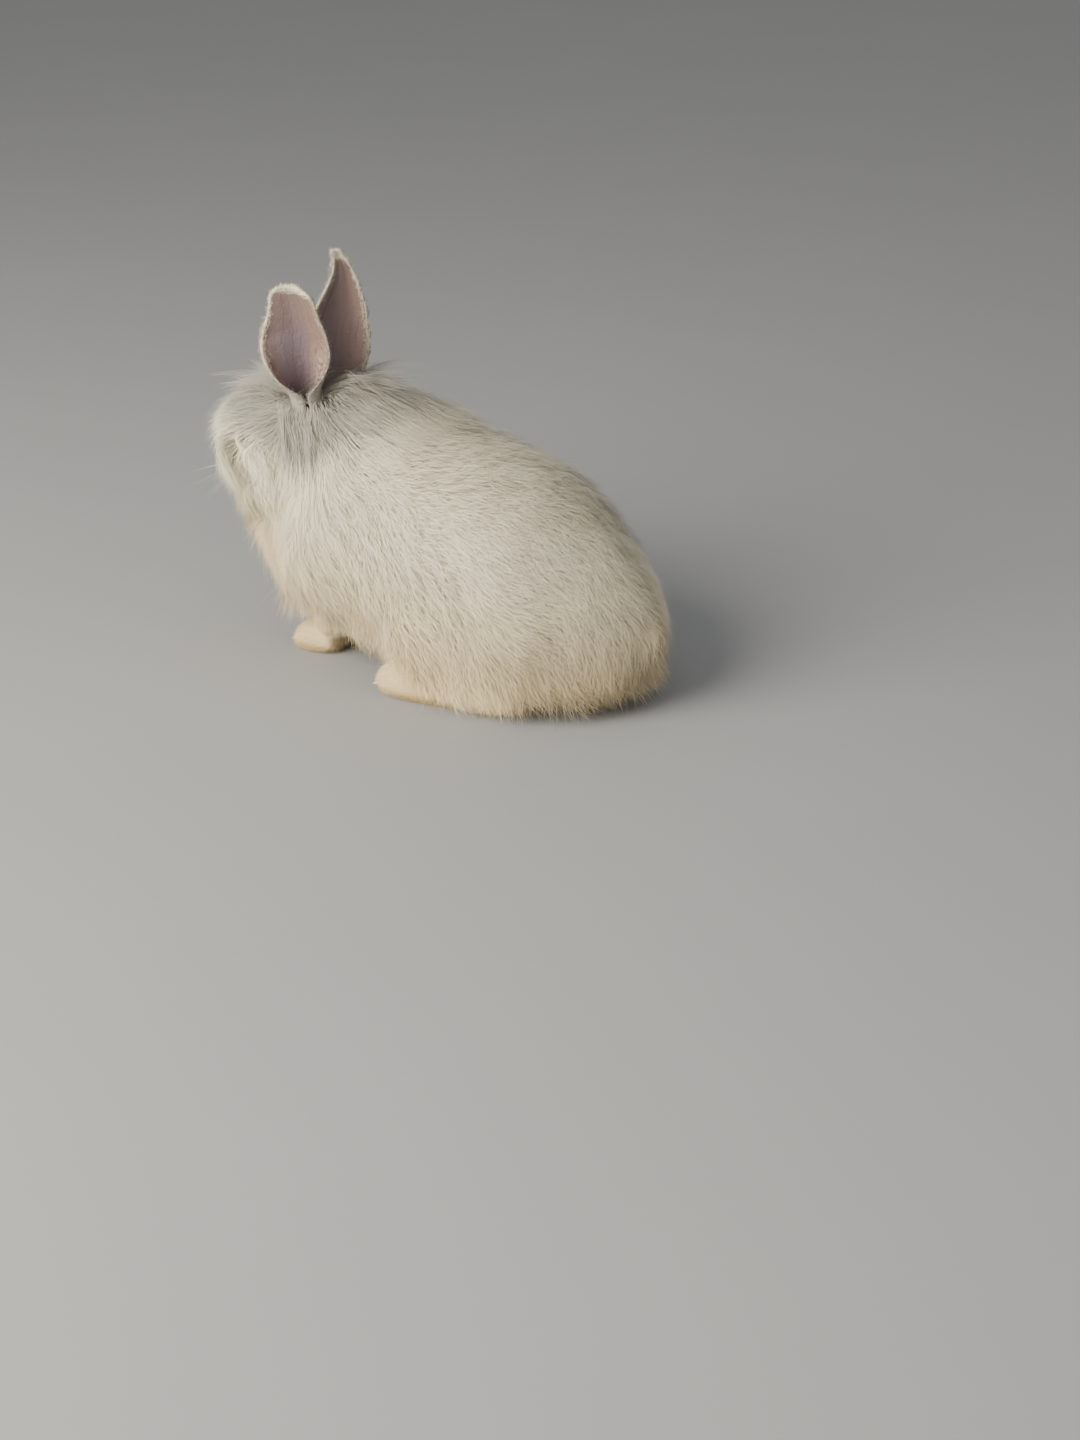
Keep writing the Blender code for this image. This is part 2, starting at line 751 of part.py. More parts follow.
def coat_at(at, normal):
    """The kind of lock that grows at a point and the way it lies, or None where the coat is short."""
    zone = zone_of(at)
    side = -1 if at.y < 0 else 1
    up = max(normal.z, 0)
    if normal.z < -0.35 or at.z < 13:
        return None
    if zone == "head":
        place = head_place(at)
        turn = head_turn()
        out = 1 if place.y > 0 else -1
        if place.z > 8 and place.x < 7 and up > 0.3:
            return CROWN_LOCK, turn @ Vector((-1, 0.3 * out, 0.4))
        if place.z > 12 and place.x < 42 and abs(place.y) < 20:
            return FORELOCK, turn @ Vector((1, 0.5 * out, 0.1))
        if abs(place.y) > 12 and place.x < 27 and place.z > -24:
            return CHEEK_LOCK, turn @ Vector((-0.55, 0.15 * out, -0.85))
        return None
    if zone == "neck":
        if up > 0.72:
            return NAPE_LOCK, Vector((1, 0.25 * side * (1 - up), 0.25))
        if normal.x < -0.55 or at.x < -112:
            return RUFF_LOCK, Vector((0.05, 0.1 * side, -1))
        return MANE_LOCK, Vector((0.25 + 0.9 * up, 0, -0.9 + up))
    if zone == "tail":
        return TAIL_LOCK, Vector((0.35, 0.2 * side, -1))
    if at.x > 72:
        return RUMP_LOCK, Vector((0.35, 0, -1))
    if at.x < -100 and at.z < 70:
        return RUFF_LOCK, Vector((0.3, 0, -1))
    return BODY_LOCK, Vector((0.95, 0, -0.75 + 0.7 * up))


def lock_path(tree, at, normal, lie, length, lift, late, steps):
    """Centres and outward ways of a lock that follows the core from its sunk root to its lifted tip."""
    centres = [at - normal * LOCK_SINK]
    ways = [normal]
    on_core = at
    for k in range(1, steps + 1):
        share = k / steps
        ahead = lie - ways[-1] * lie.dot(ways[-1])
        on_core = on_core + ahead.normalized() * length / steps
        found, facing, _, _ = tree.find_nearest(on_core * MM)
        on_core = found / MM
        ways.append((ways[-1] * 0.4 + facing * 0.6).normalized())
        raised = on_core + facing * lift * share ** late
        raised.z = max(raised.z, FLOOR_CLEAR)
        centres.append(raised)
    return centres, ways


def lock(centres, ways, half_width):
    """A closed tapered blade of flat lozenge sections that ends in a point."""
    steps = len(centres) - 1
    points = []
    for k in range(steps):
        along = (centres[k + 1] - centres[max(k - 1, 0)]).normalized()
        across = along.cross(ways[k]).normalized()
        up = across.cross(along)
        share = k / steps
        wide = half_width * (0.62 + 1.5 * share * (1 - share)) * (1 - share ** 3)
        thick = max(wide * LOCK_FLAT, 0.5)
        for x, z in ((1, 0), (0, 1), (-1, 0), (0, -1)):
            points.append(centres[k] + across * wide * x + up * thick * z)
    points.append(centres[-1])
    faces = [(0, 1, 2), (0, 2, 3)]
    for k in range(steps - 1):
        for i in range(4):
            a = k * 4 + i
            b = k * 4 + (i + 1) % 4
            faces.append((a, b, b + 4))
            faces.append((a, b + 4, a + 4))
    last = (steps - 1) * 4
    faces += [(last + i, last + (i + 1) % 4, len(points) - 1) for i in range(4)]
    return closed_object("lock", points, faces)


def core_tree(core):
    mesh = core.data
    return BVHTree.FromPolygons([v.co for v in mesh.vertices], [tuple(p.vertices) for p in mesh.polygons])


def random_roots(core, draw):
    """Points spread at random over the core, with their normals."""
    mesh = core.data
    areas = np.cumsum([p.area for p in mesh.polygons])
    for _ in range(LOCK_TRIES):
        face = mesh.polygons[int(np.searchsorted(areas, draw.random() * areas[-1]))]
        a, b, c = (mesh.vertices[i].co for i in face.vertices[:3])
        u = draw.random()
        v = draw.random()
        if u + v > 1:
            u, v = 1 - u, 1 - v
        yield (a + (b - a) * u + (c - a) * v) / MM, face.normal


def grow_locks(core, keep_off):
    """Locks over the whole coat, each along its lie, clear of what it must not cross."""
    draw = random.Random(7)
    tree = core_tree(core)
    roots = []
    made = []
    for at, normal in random_roots(core, draw):
        coat = coat_at(at, normal)
        if coat is None:
            continue
        (length, half_width, lift, apart, late), lie = coat
        if any((at - other).length < max(apart, far) * 0.5 + min(apart, far) * 0.5 for other, far in roots):
            continue
        size = 1 + draw.uniform(-LOCK_VARY, LOCK_VARY)
        stray = Vector([draw.uniform(-0.22, 0.22) for _ in range(3)])
        steps = 4 if lift > 8 else 3
        centres, ways = lock_path(tree, at, normal, lie.normalized() + stray, length * size, lift * size, late, steps)
        piece = lock(centres, ways, half_width * size)
        piece_tree = core_tree(piece)
        too_low = min(v.co.z for v in piece.data.vertices) < FLOOR_GAP * MM
        if too_low or any(piece_tree.overlap(other) for other in keep_off):
            bpy.data.objects.remove(piece)
            continue
        roots.append((at, apart))
        made.append(piece)
    return made


def part_body(body):
    """Parts the whole into head, neck, tail, torso and two thighs, with a thin gap at each cut."""
    head = boolean(copy_of(body, "head"), "INTERSECT", head_region("region", 0))
    rest = boolean(body, "DIFFERENCE", head_region("region", GAP))
    normal = neck_cut_normal()
    neck = boolean(copy_of(rest, "neck"), "DIFFERENCE", slab("region", NECK_CUT_LOW, normal))
    torso = boolean(rest, "DIFFERENCE", slab("region", NECK_CUT_LOW - normal * GAP, -normal))
    torso.name = "torso"
    tail = boolean(copy_of(torso, "tail"), "INTERSECT", tail_region("region", 0))
    boolean(torso, "DIFFERENCE", tail_region("region", GAP))
    thighs = []
    for side in (-1, 1):
        thigh = copy_of(torso, side_name("thigh", side))
        thighs.append(boolean(thigh, "INTERSECT", thigh_region("region", side, 0)))
        boolean(torso, "DIFFERENCE", thigh_region("region", side, GAP))
    return head, neck, torso, tail, thighs


def seat_limbs(torso, thighs):
    """Makes the feet and forelegs, and cuts their seats in the body with a thin gap."""
    made = []
    for side, thigh in zip((-1, 1), thighs):
        made.append(hind_foot(side))
        for carrier in (torso, thigh):
            seat = foot_form("seat", FOOT_HEEL, FOOT_TOE, FOOT_STEPS, FOOT_HALF_WIDTHS, FOOT_FLAT, side, GAP)
            boolean(carrier, "DIFFERENCE", seat)
        paw = forepaw(side)
        leg = foreleg(side_name("foreleg", side), side)
        paw_seat = foot_form("seat", FOREPAW_HEEL, FOREPAW_TOE, PAW_STEPS, PAW_HALF_WIDTHS, PAW_FLAT, side, GAP)
        boolean(leg, "DIFFERENCE", copy_of(paw_seat, "paw_seat"))
        boolean(torso, "DIFFERENCE", paw_seat)
        boolean(torso, "DIFFERENCE", foreleg("seat", side, GAP))
        made += [paw, leg]
    return made


def material(name, colour, roughness):
    made = bpy.data.materials.new(name)
    made.use_nodes = True
    shader = made.node_tree.nodes["Principled BSDF"]
    shader.inputs["Base Color"].default_value = (*colour, 1)
    shader.inputs["Roughness"].default_value = roughness
    shader.inputs["Metallic"].default_value = 0
    return made


def finish(nodes):
    """Shades, colours and recentres every node."""
    for node in nodes:
        keep_largest(node)
        if node.name.startswith("eye"):
            look = material(node.name, EYE_BROWN, 0.05)
        elif node.name.startswith("ear"):
            look = material(node.name, EAR_PINK, 0.6)
        elif node.name.startswith(("forepaw", "hindfoot")):
            look = material(node.name, PAW_WHITE, 0.9)
        else:
            look = material(node.name, COAT_WHITE, 0.9)
        node.data.materials.clear()
        node.data.materials.append(look)
        node.data.shade_smooth()
    corners = np.array([tuple(v.co) for node in nodes for v in node.data.vertices])
    low = corners.min(0)
    high = corners.max(0)
    centre = Vector(((low[0] + high[0]) / 2, (low[1] + high[1]) / 2, low[2]))
    for node in nodes:
        node.data.transform(Matrix.Translation(-centre))


def main():
    clear_scene()
    body = melt(join("body", body_forms()))
    sink_core(body)
    thin_out(body, BODY_TRIANGLES)
    ears = [ear(side_name("ear", side), side) for side in (-1, 1)]
    eyes = [head_pad(side_name("eye", side), EYE_AT, [EYE_RADIUS] * 3, side, 14) for side in (-1, 1)]
    unite(body, grow_locks(body, [core_tree(thing) for thing in ears + eyes]))
    head, neck, torso, tail, thighs = part_body(body)
    limbs = seat_limbs(torso, thighs)
    carve_face(head)
    for side in (-1, 1):
        for carrier in (head, neck):
            boolean(carrier, "DIFFERENCE", ear("seat", side, GAP))
    finish([head, neck, torso, tail, *thighs, *limbs, *ears, *eyes])


if __name__ == "__main__":
    main()
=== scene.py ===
"""The looks of a life-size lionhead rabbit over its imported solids: skin, eyes, ears, claws and a coat of mesh tufts.

It is laid out as a Blender add-on. Shapes are worked out in the rabbit's own frame in millimetres: it faces -X, its
left side is -Y and the floor is Z = 0. world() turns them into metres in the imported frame.
"""

import functools
import itertools
import math

import bmesh
import bpy
import numpy as np
from bpy.props import FloatProperty, FloatVectorProperty, IntProperty, PointerProperty
from mathutils import Matrix, Vector
from mathutils.bvhtree import BVHTree
from mathutils.kdtree import KDTree

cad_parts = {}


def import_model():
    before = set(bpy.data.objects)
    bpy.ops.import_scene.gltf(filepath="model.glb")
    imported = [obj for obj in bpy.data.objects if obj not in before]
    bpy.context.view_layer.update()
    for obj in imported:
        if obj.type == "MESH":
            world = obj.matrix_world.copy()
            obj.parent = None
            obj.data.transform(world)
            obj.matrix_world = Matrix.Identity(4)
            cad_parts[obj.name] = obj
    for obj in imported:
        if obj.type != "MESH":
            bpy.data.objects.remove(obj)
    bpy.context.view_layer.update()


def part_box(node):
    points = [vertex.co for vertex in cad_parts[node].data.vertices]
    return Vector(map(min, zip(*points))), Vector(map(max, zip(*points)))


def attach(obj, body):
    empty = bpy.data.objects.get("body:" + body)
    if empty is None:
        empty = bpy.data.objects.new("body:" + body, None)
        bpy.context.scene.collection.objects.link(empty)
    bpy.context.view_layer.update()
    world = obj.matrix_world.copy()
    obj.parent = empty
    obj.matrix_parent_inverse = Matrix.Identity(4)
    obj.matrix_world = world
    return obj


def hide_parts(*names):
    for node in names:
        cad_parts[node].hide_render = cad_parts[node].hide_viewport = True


bl_info = {
    "name": "Lionhead Rabbit",
    "version": (1, 0, 0),
    "blender": (4, 5, 0),
    "location": "View3D > Sidebar > Rabbit",
    "description": "Builds the skin, coat, eyes, ears and stage of a life-size lionhead rabbit",
    "category": "Object",
}

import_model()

MM = 0.001
SIDES = (-1, 1)

# Trunk sections from rump to breast: x, floor side z, back side z, half width, sideways shift
TRUNK = (
    (108, 34, 46, 8, 0),
    (105, 22, 56, 19, 0),
    (98, 13, 67, 30, 0),
    (87, 7, 80, 41, -1),
    (70, 4, 94, 54, -1),
    (49, 3, 110, 64, -1),
    (26, 3, 120, 66, 0),
    (2, 4, 127, 63, 0),
    (-22, 6, 135, 58, 0),
    (-46, 8, 144, 53, 1),
    (-68, 11, 148, 47, 2),
    (-86, 15, 140, 43, 3),
    (-105, 22, 118, 35, 4),
    (-117, 31, 106, 27, 4),
    (-127, 42, 98, 19, 4),
    (-134, 52, 91, 12, 4),
    (-139, 61, 83, 5, 4),
)
TRUNK_SQUARE = 2.1
TRUNK_SQUARE_RUMP = 1.75
RUMP_FROM = 30
RUMP_TO = 85
TRUNK_SQUARE_LOW = 2.7

# Head: where it joins the neck, its turn and nod, and sections from nape to nose: forward, low, high, half width
HEAD_AT = Vector((-89, 2, 117.5))
HEAD_TURN = math.radians(9)
HEAD_NOD = math.radians(21)
HEAD = (
    (-12, -10, 9, 12),
    (-6, -17, 17, 19),
    (4, -22, 22, 24.5),
    (16, -25.5, 27.5, 28),
    (29, -26.5, 29.5, 29.5),
    (41, -26, 28.0, 27.5),
    (52, -24.5, 23.5, 23.5),
    (62, -22, 18.5, 19),
    (70, -19, 14.0, 15.5),
    (76, -16, 11.0, 12.5),
    (79, -12, 8.0, 9),
)
HEAD_SQUARE = 2.1
EYE_AT = (38, 20.3, 6.5)
EYE_RADIUS = 7.8
CORNEA = 0.25
ORBIT_AT = (41, 20.3, 5.5)
# How far in front of the eye, and how much of that forwards, no hair hangs, and how near to it none comes
EYE_SIGHT = 8
EYE_SIGHT_AHEAD = 0.5
EYE_SIGHT_RADIUS = EYE_RADIUS - 0.6
EYE_CLEAR = EYE_RADIUS + 0.7
SOCKET_GAP = 0.15
NECK_FROM = Vector((-44, 2, 95))
NECK_RADII = (47, 46, 43, 39, 31)
NECK_TO_HEAD = (14, 0, -2)

# Pads of flesh on each side of the head: place forward, out and up, and radii
FACE_PADS = (
    ((37, 18.3, 6.5), (15, 10, 12)),
    ((72, 7.6, -7.0), (9.6, 8.4, 8.2)),
    ((50, 15.5, -9), (14, 7.5, 9)),
)
CHIN_PAD = ((67, 0, -17), (9, 8, 5))
NOSE_PAD = ((77.2, 0, 2.4), (3.4, 4.6, 3.4))
NOSE_BARE = 4.4
LINE_BARE = 1.3
LID_RING = 6.9
LID_RISE = 5.0
LID_THICK = 1.7
LID_FLAT = 0.84
MOUTH_RADIUS = 1.1
MOUTH_FLAT = 0.6
MOUTH_LINE = ((82, 0, -9), (80, 5, -12), (74, 11, -14), (66, 17, -13))
CLEFT_RADIUS = 0.7
CLEFT_LINE = ((84, 0, -1.5), (84, 0, -5), (83, 0, -9))
NOSTRIL_AT = (80, 2.7, 2.6)
NOSTRIL_RADII = (2.6, 1.9, 0.9)

# Ears: base, tip and the way each opens, and the leaf rolled about its long axis
EAR_BASE = {-1: Vector((-95, -9, 129)), 1: Vector((-96, 12, 130))}
EAR_TIP = {-1: Vector((-90, -30, 198)), 1: Vector((-95, 23, 206))}
EAR_OPEN = {-1: Vector((0.12, -1, 0)), 1: Vector((0.9, -0.45, 0))}
EAR_WIDTH = {
    -1: ((0, 40), (0.14, 44), (0.24, 47), (0.33, 48), (0.49, 48), (0.56, 47), (0.63, 43.5), (0.69, 39), (0.77, 32.5),
         (0.835, 29.5), (0.93, 25), (0.97, 20), (1, 9)),
    1: ((0, 36), (0.08, 41), (0.24, 46), (0.32, 48), (0.45, 45), (0.61, 35), (0.75, 22), (0.86, 12.5), (0.93, 8.5),
        (1, 3)),
}
EAR_WRAP = {
    -1: ((0, 345), (0.17, 345), (0.22, 325), (0.29, 260), (0.36, 205), (0.43, 165), (0.5, 135), (0.57, 114),
         (0.69, 96), (0.835, 80), (0.93, 66), (1, 50)),
    1: ((0, 250), (0.08, 215), (0.24, 165), (0.39, 135), (0.56, 112), (0.69, 98), (0.835, 80), (0.93, 66), (1, 50)),
}
EAR_ROWS = 56
EAR_COLUMNS = 30
EAR_CROWDED = 1.25
EAR_BOW = 4
EAR_BACK = 4
EAR_LEAN = {-1: 0, 1: 5.5}
EAR_TWIST = {-1: 0.75, 1: 0.0}
EAR_THICK = 1.9
EAR_RIM_THICK = 1.1
EAR_RIPPLE = 0.35

# Limbs and tail
THIGH = ((37, 42, 45), (41, 24, 38))
KNEE = ((4, 47, 38), (28, 18, 28))
SHOULDER = ((-64, 33, 60), (32, 20, 36))
FOOT_HEEL = Vector((56, 46, 9))
FOOT_TOE = Vector((-27, 46, 6.5))
FOOT_STEPS = (0, 0.06, 0.2, 0.45, 0.7, 0.88, 0.97, 1)
FOOT_HALF_WIDTHS = (4, 8, 9.5, 10, 11.5, 12, 9.5, 5)
FOOT_FLAT = 0.8
FORELEG_TOP = Vector((-67, 21, 48))
WRIST_AT = Vector((-77, 18, 15))
FORELEG_RADII = (14, 13, 11.5, 10.5)
FOREPAW_HEEL = Vector((-74, 18, 7))
FOREPAW_TOE = Vector((-100, 15, 5.5))
PAW_STEPS = (0, 0.1, 0.35, 0.65, 0.88, 1)
PAW_HALF_WIDTHS = (6, 9.5, 10, 10.5, 9, 4)
PAW_FLAT = 0.78
# Each foot: heel, toe, steps, half widths, flatness and the step where the toes' width is read
FEET = (
    (FOOT_HEEL, FOOT_TOE, FOOT_STEPS, FOOT_HALF_WIDTHS, FOOT_FLAT, 5),
    (FOREPAW_HEEL, FOREPAW_TOE, PAW_STEPS, PAW_HALF_WIDTHS, PAW_FLAT, 4),
)
TOE_SPREAD = (-0.62, -0.2, 0.22, 0.64)
TOE_RADII = (6.5, 2.9, 4.2)
TOE_INSET = 4
TOE_ARC = 5
CLAW_ROOT_LOW = 0.6
CLAW_DROP = 1.4
CLAW_LONG = 6.0
CLAW_RADII = (1.25, 1.15, 0.85, 0.2)
TAIL_ROOT = Vector((93, 0, 46))
TAIL_TIP = Vector((105, 0, 25))
TAIL_RADII = (10, 15, 16.5, 14.5, 8)
TAIL_MIDDLE = Vector((106, 0, 33))
TAIL_REACH = 24

# How the skin is melted together, and how far it lies inside the forms
VOXEL = 1.3
SKIN_SMOOTH = 8
HEAD_LOW = -28
NECK_CUT_HIGH = Vector((-37, 0, 140))
NECK_CUT_LOW = Vector((-112, 0, 42))
DEPTH_BODY = 6.0
DEPTH_NECK = 8.0
DEPTH_FACE = 1.0
DEPTH_BELLY = 2.5
DEPTH_FEET = 1.2
DEPTH_ROUNDS = 20
FLOOR_CLEAR = 0.5
HAIR_CLEAR = 0.8

# The coat's zones: hair length, height of the tips, how late they rise, half width, clumping and density
ZONES = {
    "foot": (8, 4.2, 0.8, 0.085, 0.20, 4.2),
    "leg": (12, 4.0, 1.0, 0.14, 0.15, 1.2),
    "orbit": (11, 4.0, 0.9, 0.09, 0.15, 3.2),
    "muzzle": (6.5, 2.0, 1.0, 0.09, 0.1, 3.8),
    "cheek": (26, 13.5, 0.75, 0.12, 0.25, 2.7),
    "forehead": (22, 13, 0.65, 0.12, 0.25, 2.2),
    "belly": (14, 3.0, 1.0, 0.3, 0.2, 0.5),
    "tail": (20, 8, 0.85, 0.14, 0.2, 1.0),
    "nape": (36, 10, 0.55, 0.12, 0.45, 1.5),
    "mane": (29, 10.5, 0.7, 0.12, 0.4, 1.5),
    "ruff": (25, 11, 0.85, 0.13, 0.4, 1.3),
    "rump": (18, 8, 0.75, 0.13, 0.1, 1.0),
    "body": (17, 8.5, 0.7, 0.13, 0.12, 1.0),
}
LENGTH, HEIGHT, LATE, HALF_WIDTH, CLUMP, DENSITY = range(6)
# The coat's layers: setting of the count, length, height, width, rings, stray, clumps' reach and shortest hair
LAYERS = {
    "under": ("under_tufts", 0.8, 0.9, 2.3, 1, 0.6, 0.3, 0.85),
    "coat": ("over_tufts", 1.0, 1.0, 0.95, 2, 0.6, 1.0, 0.55),
    "fuzz": ("fuzz_hairs", 0.75, 1.15, 0.75, 1, 0.7, 0.5, 0.6),
    "guard": ("guard_hairs", 1.15, 1.25, 0.65, 3, 0.7, 0.5, 0.85),
}
# Longest hair as a share of its zone's length, how deep a root is sunk, and how high a tuft is to its half width
LONGEST = 1.12
ROOT_SUNK = 0.6
TUFT_TALL = 0.45
# The number of locks that hairs gather into, and where each kind of hair starts its random draws
LOCKS = 2600
LOCK_SEED, COAT_SEED, EAR_SEED, WHISKER_SEED, WISP_SEED = 11, 21, 5, 9, 33
# How much longer the low hair of thigh and belly is, and the waves of the coat's fluffy patches
SKIRT = 0.9
PUFFS = np.array([[0.21, 0.13, -0.17], [0.09, -0.24, 0.16], [0.15, 0.19, 0.23]])
# Loose strands: count, clumps, root and its spread, way and its spread, shortest and longest, droop and half width
WISPS = (
    (1000, 60, (-84, 4, 138), (9, 12, 3), (0.80, -0.04, 0.62), 0.2, (38, 66), 0.36, 0.10),
    (380, 30, (-112, -7, 138), (8, 10, 2), (-0.80, -0.16, 0.50), 0.22, (24, 42), 0.42, 0.08),
    (620, 24, (-90, -22, 130), (12, 3, 5), (0.2, -0.42, -0.85), 0.16, (18, 32), 0.05, 0.13),
)
# The same for both cheeks, in the head's forward, out and up
CHEEK_WISPS = (
    (300, 44, (50, 21, -9), (9, 3, 9), (-0.35, 0.45, -0.85), 0.2, (18, 30), 0.1, 0.08),
    (640, 80, (57, 18, -1), (5, 1.5, 8), (-0.25, 0.50, -0.80), 0.15, (10, 18), 0.15, 0.08),
    (280, 40, (48, 8, -25), (9, 6, 3), (-0.40, 0.25, -0.90), 0.2, (18, 32), 0.1, 0.08),
)
# Grey markings, partly grey hair and partly painted shade on the brow, the nape and below the near ear: place,
# distances in metres where they end and where they are full, and strength
GREY_AND_SHADE_SPOTS = (
    ((-86, -22, 127), 0.038, 0.010, 2.0),
    ((-56, -3, 146), 0.064, 0.016, 1.4),
    ((-124, -12, 141), 0.044, 0.012, 1.9),
)
STAINS = (((-8, 46, 2), 0.036, 0.026), ((-92, 16, 2), 0.020, 0.014))
# The skin's field in millimetres, the faces of its thinned map, and the side of a tuft's patch on the map
GRID = 3.0
GRID_MARGIN = 30
MAP_FACES = 5000
PATCH = 0.003

# Hair of the ears: shares of the kinds up to each bound, and where on the leaf the rim's hair grows
EAR_FUR = 5000
EAR_FUR_BACK, EAR_FUR_OUTSIDE, EAR_FUR_RIM = 0.3, 0.55, 0.85
EAR_FUR_DEPTH = 0.15

# Whiskers: how many on each side, how many of these on the pad, and in a row of it
WHISKERS = 17
WHISKERS_ON_PAD = 14
WHISKERS_IN_ROW = 5

# Colours of ear, eye and claw that no setting holds, and the angles off the eye's axis where each ring of it ends
VEIN = (0.17, 0.085, 0.10)
# Painted shade of a fold inside the far ear
FOLD_SHADE = (0.13, 0.07, 0.075)
FLESH = ((0.30, 0.20, 0.17), (0.66, 0.53, 0.45))
CLAW = ((0.50, 0.38, 0.27), (0.72, 0.60, 0.48))
PUPIL = (0.004, 0.003, 0.003)
IRIS_EDGE = (0.018, 0.010, 0.008)
EYE_WHITE = (0.50, 0.38, 0.34)
PUPIL_END = (0.36, 0.42)
IRIS_END = (0.74, 0.86)
EDGE_END = (1.02, 1.12)

# Stage: half the floor's side in metres, and camera and lights in the rabbit's millimetres
FLOOR_REACH = 9.0
CAMERA_AT = Vector((633.0, -1028.7, 505.0))
KEY_LIGHT = ((-480, -1150, 720), (-10, 0, 70), 1.3, (1.0, 0.93, 0.80))
FILL_LIGHT = ((1100, -300, 700), (0, 0, 60), 1.2, (0.94, 0.97, 1.0))
SKY_COLOUR = (1.0, 0.98, 0.95, 1)


def head_turn():
    """Columns are the head's forward, left and up directions in the rabbit's frame."""
    forward = Vector((-math.cos(HEAD_TURN), math.sin(HEAD_TURN), 0)) * math.cos(HEAD_NOD)
    forward.z = -math.sin(HEAD_NOD)
    left = Vector((-math.sin(HEAD_TURN), -math.cos(HEAD_TURN), 0))
    return Matrix((forward, left, forward.cross(left))).transposed()


def in_head(at, side=-1):
    """A place given as forward, out and up on the head; side is -1 on the left."""
    return HEAD_AT + head_turn() @ Vector((at[0], -at[1] * side, at[2]))


def frame_origin():
    """The rabbit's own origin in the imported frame, found from the left eye's place in both."""
    low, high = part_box("eye_left")
    return (low + high) / 2 - in_head(EYE_AT) * MM


ORIGIN = frame_origin()
NP_ORIGIN = np.array(ORIGIN)
HEAD_AXES = np.array(head_turn())


def world(at):
    return Vector(at) * MM + ORIGIN


def sided(at, side):
    return Vector((at[0], at[1] * side, at[2]))


def interpolate(table, at):
    return np.interp(at, [row[0] for row in table], [row[1] for row in table])


def ramp(low, high, at):
    """0 at low and 1 at high, smooth between, in either order."""
    share = np.clip((at - low) / (high - low), 0, 1)
    return share * share * (3 - 2 * share)


def unit(vectors):
    return vectors / np.maximum(np.linalg.norm(vectors, axis=-1, keepdims=True), 1e-9)


# Settings


def tint(name, description, default):
    return FloatVectorProperty(name=name, description=description, subtype="COLOR", size=3, default=default)


class RabbitCoat(bpy.types.PropertyGroup):
    under_tufts: IntProperty(name="Under tufts", description="Count of wide short tufts", default=36000)
    over_tufts: IntProperty(name="Over tufts", description="Count of tufts of the coat proper", default=62000)
    fuzz_hairs: IntProperty(name="Fuzz hairs", description="Count of fine straight hairs", default=108000)
    guard_hairs: IntProperty(name="Guard hairs", description="Count of fine long hairs", default=9000)
    length: FloatProperty(name="Length", description="Scale of all hair lengths", default=1.0)
    white: tint("White", "Colour of the coat", (0.95, 0.895, 0.69))
    # Cream of breast and flanks; towards the floor it is also painted warm light bounced from below
    cream: tint("Cream", "Tint of breast and flanks", (0.90, 0.71, 0.42))
    # Grey of the markings, also used as painted shade on the brow, the nape and below the near ear
    grey_and_shade: tint("Grey", "Shade of the mane", (0.36, 0.345, 0.30))
    stain: tint("Stain", "Yellow of the soles' edges", (0.62, 0.44, 0.20))


class RabbitHead(bpy.types.PropertyGroup):
    skin: tint("Skin", "Colour of bare skin", (0.66, 0.46, 0.42))
    mauve: tint("Mauve", "Deep colour of the ear cup", (0.25, 0.195, 0.235))
    peach: tint("Peach", "Warm colour of the ear wall", (0.42, 0.275, 0.22))
    flush: tint("Flush", "Pink of the ear skin", (0.34, 0.235, 0.225))
    iris: tint("Iris", "Colour of the iris", (0.085, 0.040, 0.022))
    whisker: FloatProperty(
        name="Whiskers", description="Length of the longest whisker", default=0.034, unit="LENGTH"
    )


class RabbitStage(bpy.types.PropertyGroup):
    lens: FloatProperty(name="Lens", description="Focal length in millimetres", default=61.9)
    turn: FloatProperty(
        name="Turn", description="Turn of the camera about the vertical", default=math.radians(30), unit="ROTATION"
    )
    tilt: FloatProperty(
        name="Tilt", description="Downward tilt of the camera", default=math.radians(23.9), unit="ROTATION"
    )
    key: FloatProperty(name="Key light", description="Power of the main light in watts", default=52.0)
    fill: FloatProperty(name="Fill light", description="Power of the second light in watts", default=1.4)
    sky: FloatProperty(name="Sky", description="Strength of the even light all round", default=0.43)
    floor: tint("Floor", "Colour of the floor", (0.31, 0.32, 0.335))


# Shader maths


class Socket:
    """A shader output that Python's operators and a few named steps can work on."""

    def __init__(self, tree, output):
        self.tree = tree
        self.output = output

    def maths(self, operation, *values):
        return node(self.tree, "ShaderNodeMath", {"operation": operation}, dict(enumerate((self, *values))))

    def __add__(self, other):
        return self.maths("ADD", other)

    def __sub__(self, other):
        return self.maths("SUBTRACT", other)

    def __rsub__(self, other):
        return self * -1 + other

    def __mul__(self, other):
        return self.maths("MULTIPLY", other)

    __radd__ = __add__
    __rmul__ = __mul__

    def ramp(self, low, high):
        """0 at low and 1 at high, smooth between."""
        settings = {"interpolation_type": "SMOOTHSTEP"}
        return node(self.tree, "ShaderNodeMapRange", settings, {"Value": self, "From Min": low, "From Max": high})


def node(tree, kind, settings=(), values=(), output=0):
    """Adds a node, sets its settings first and then its sockets, and gives one of its outputs."""
    made = tree.nodes.new(kind)
    for name, value in dict(settings).items():
        setattr(made, name, value)
    for name, value in dict(values).items():
        if isinstance(value, Socket):
            tree.links.new(value.output, made.inputs[name])
        elif isinstance(value, tuple) and len(value) == 3 and made.inputs[name].type == "RGBA":
            made.inputs[name].default_value = (*value, 1)
        else:
            made.inputs[name].default_value = value
    return Socket(tree, made.outputs[output])


def blend(tree, share, first, second):
    """A mix of two colours."""
    return node(tree, "ShaderNodeMix", {"data_type": "RGBA"}, {0: share, 6: first, 7: second}, 2)


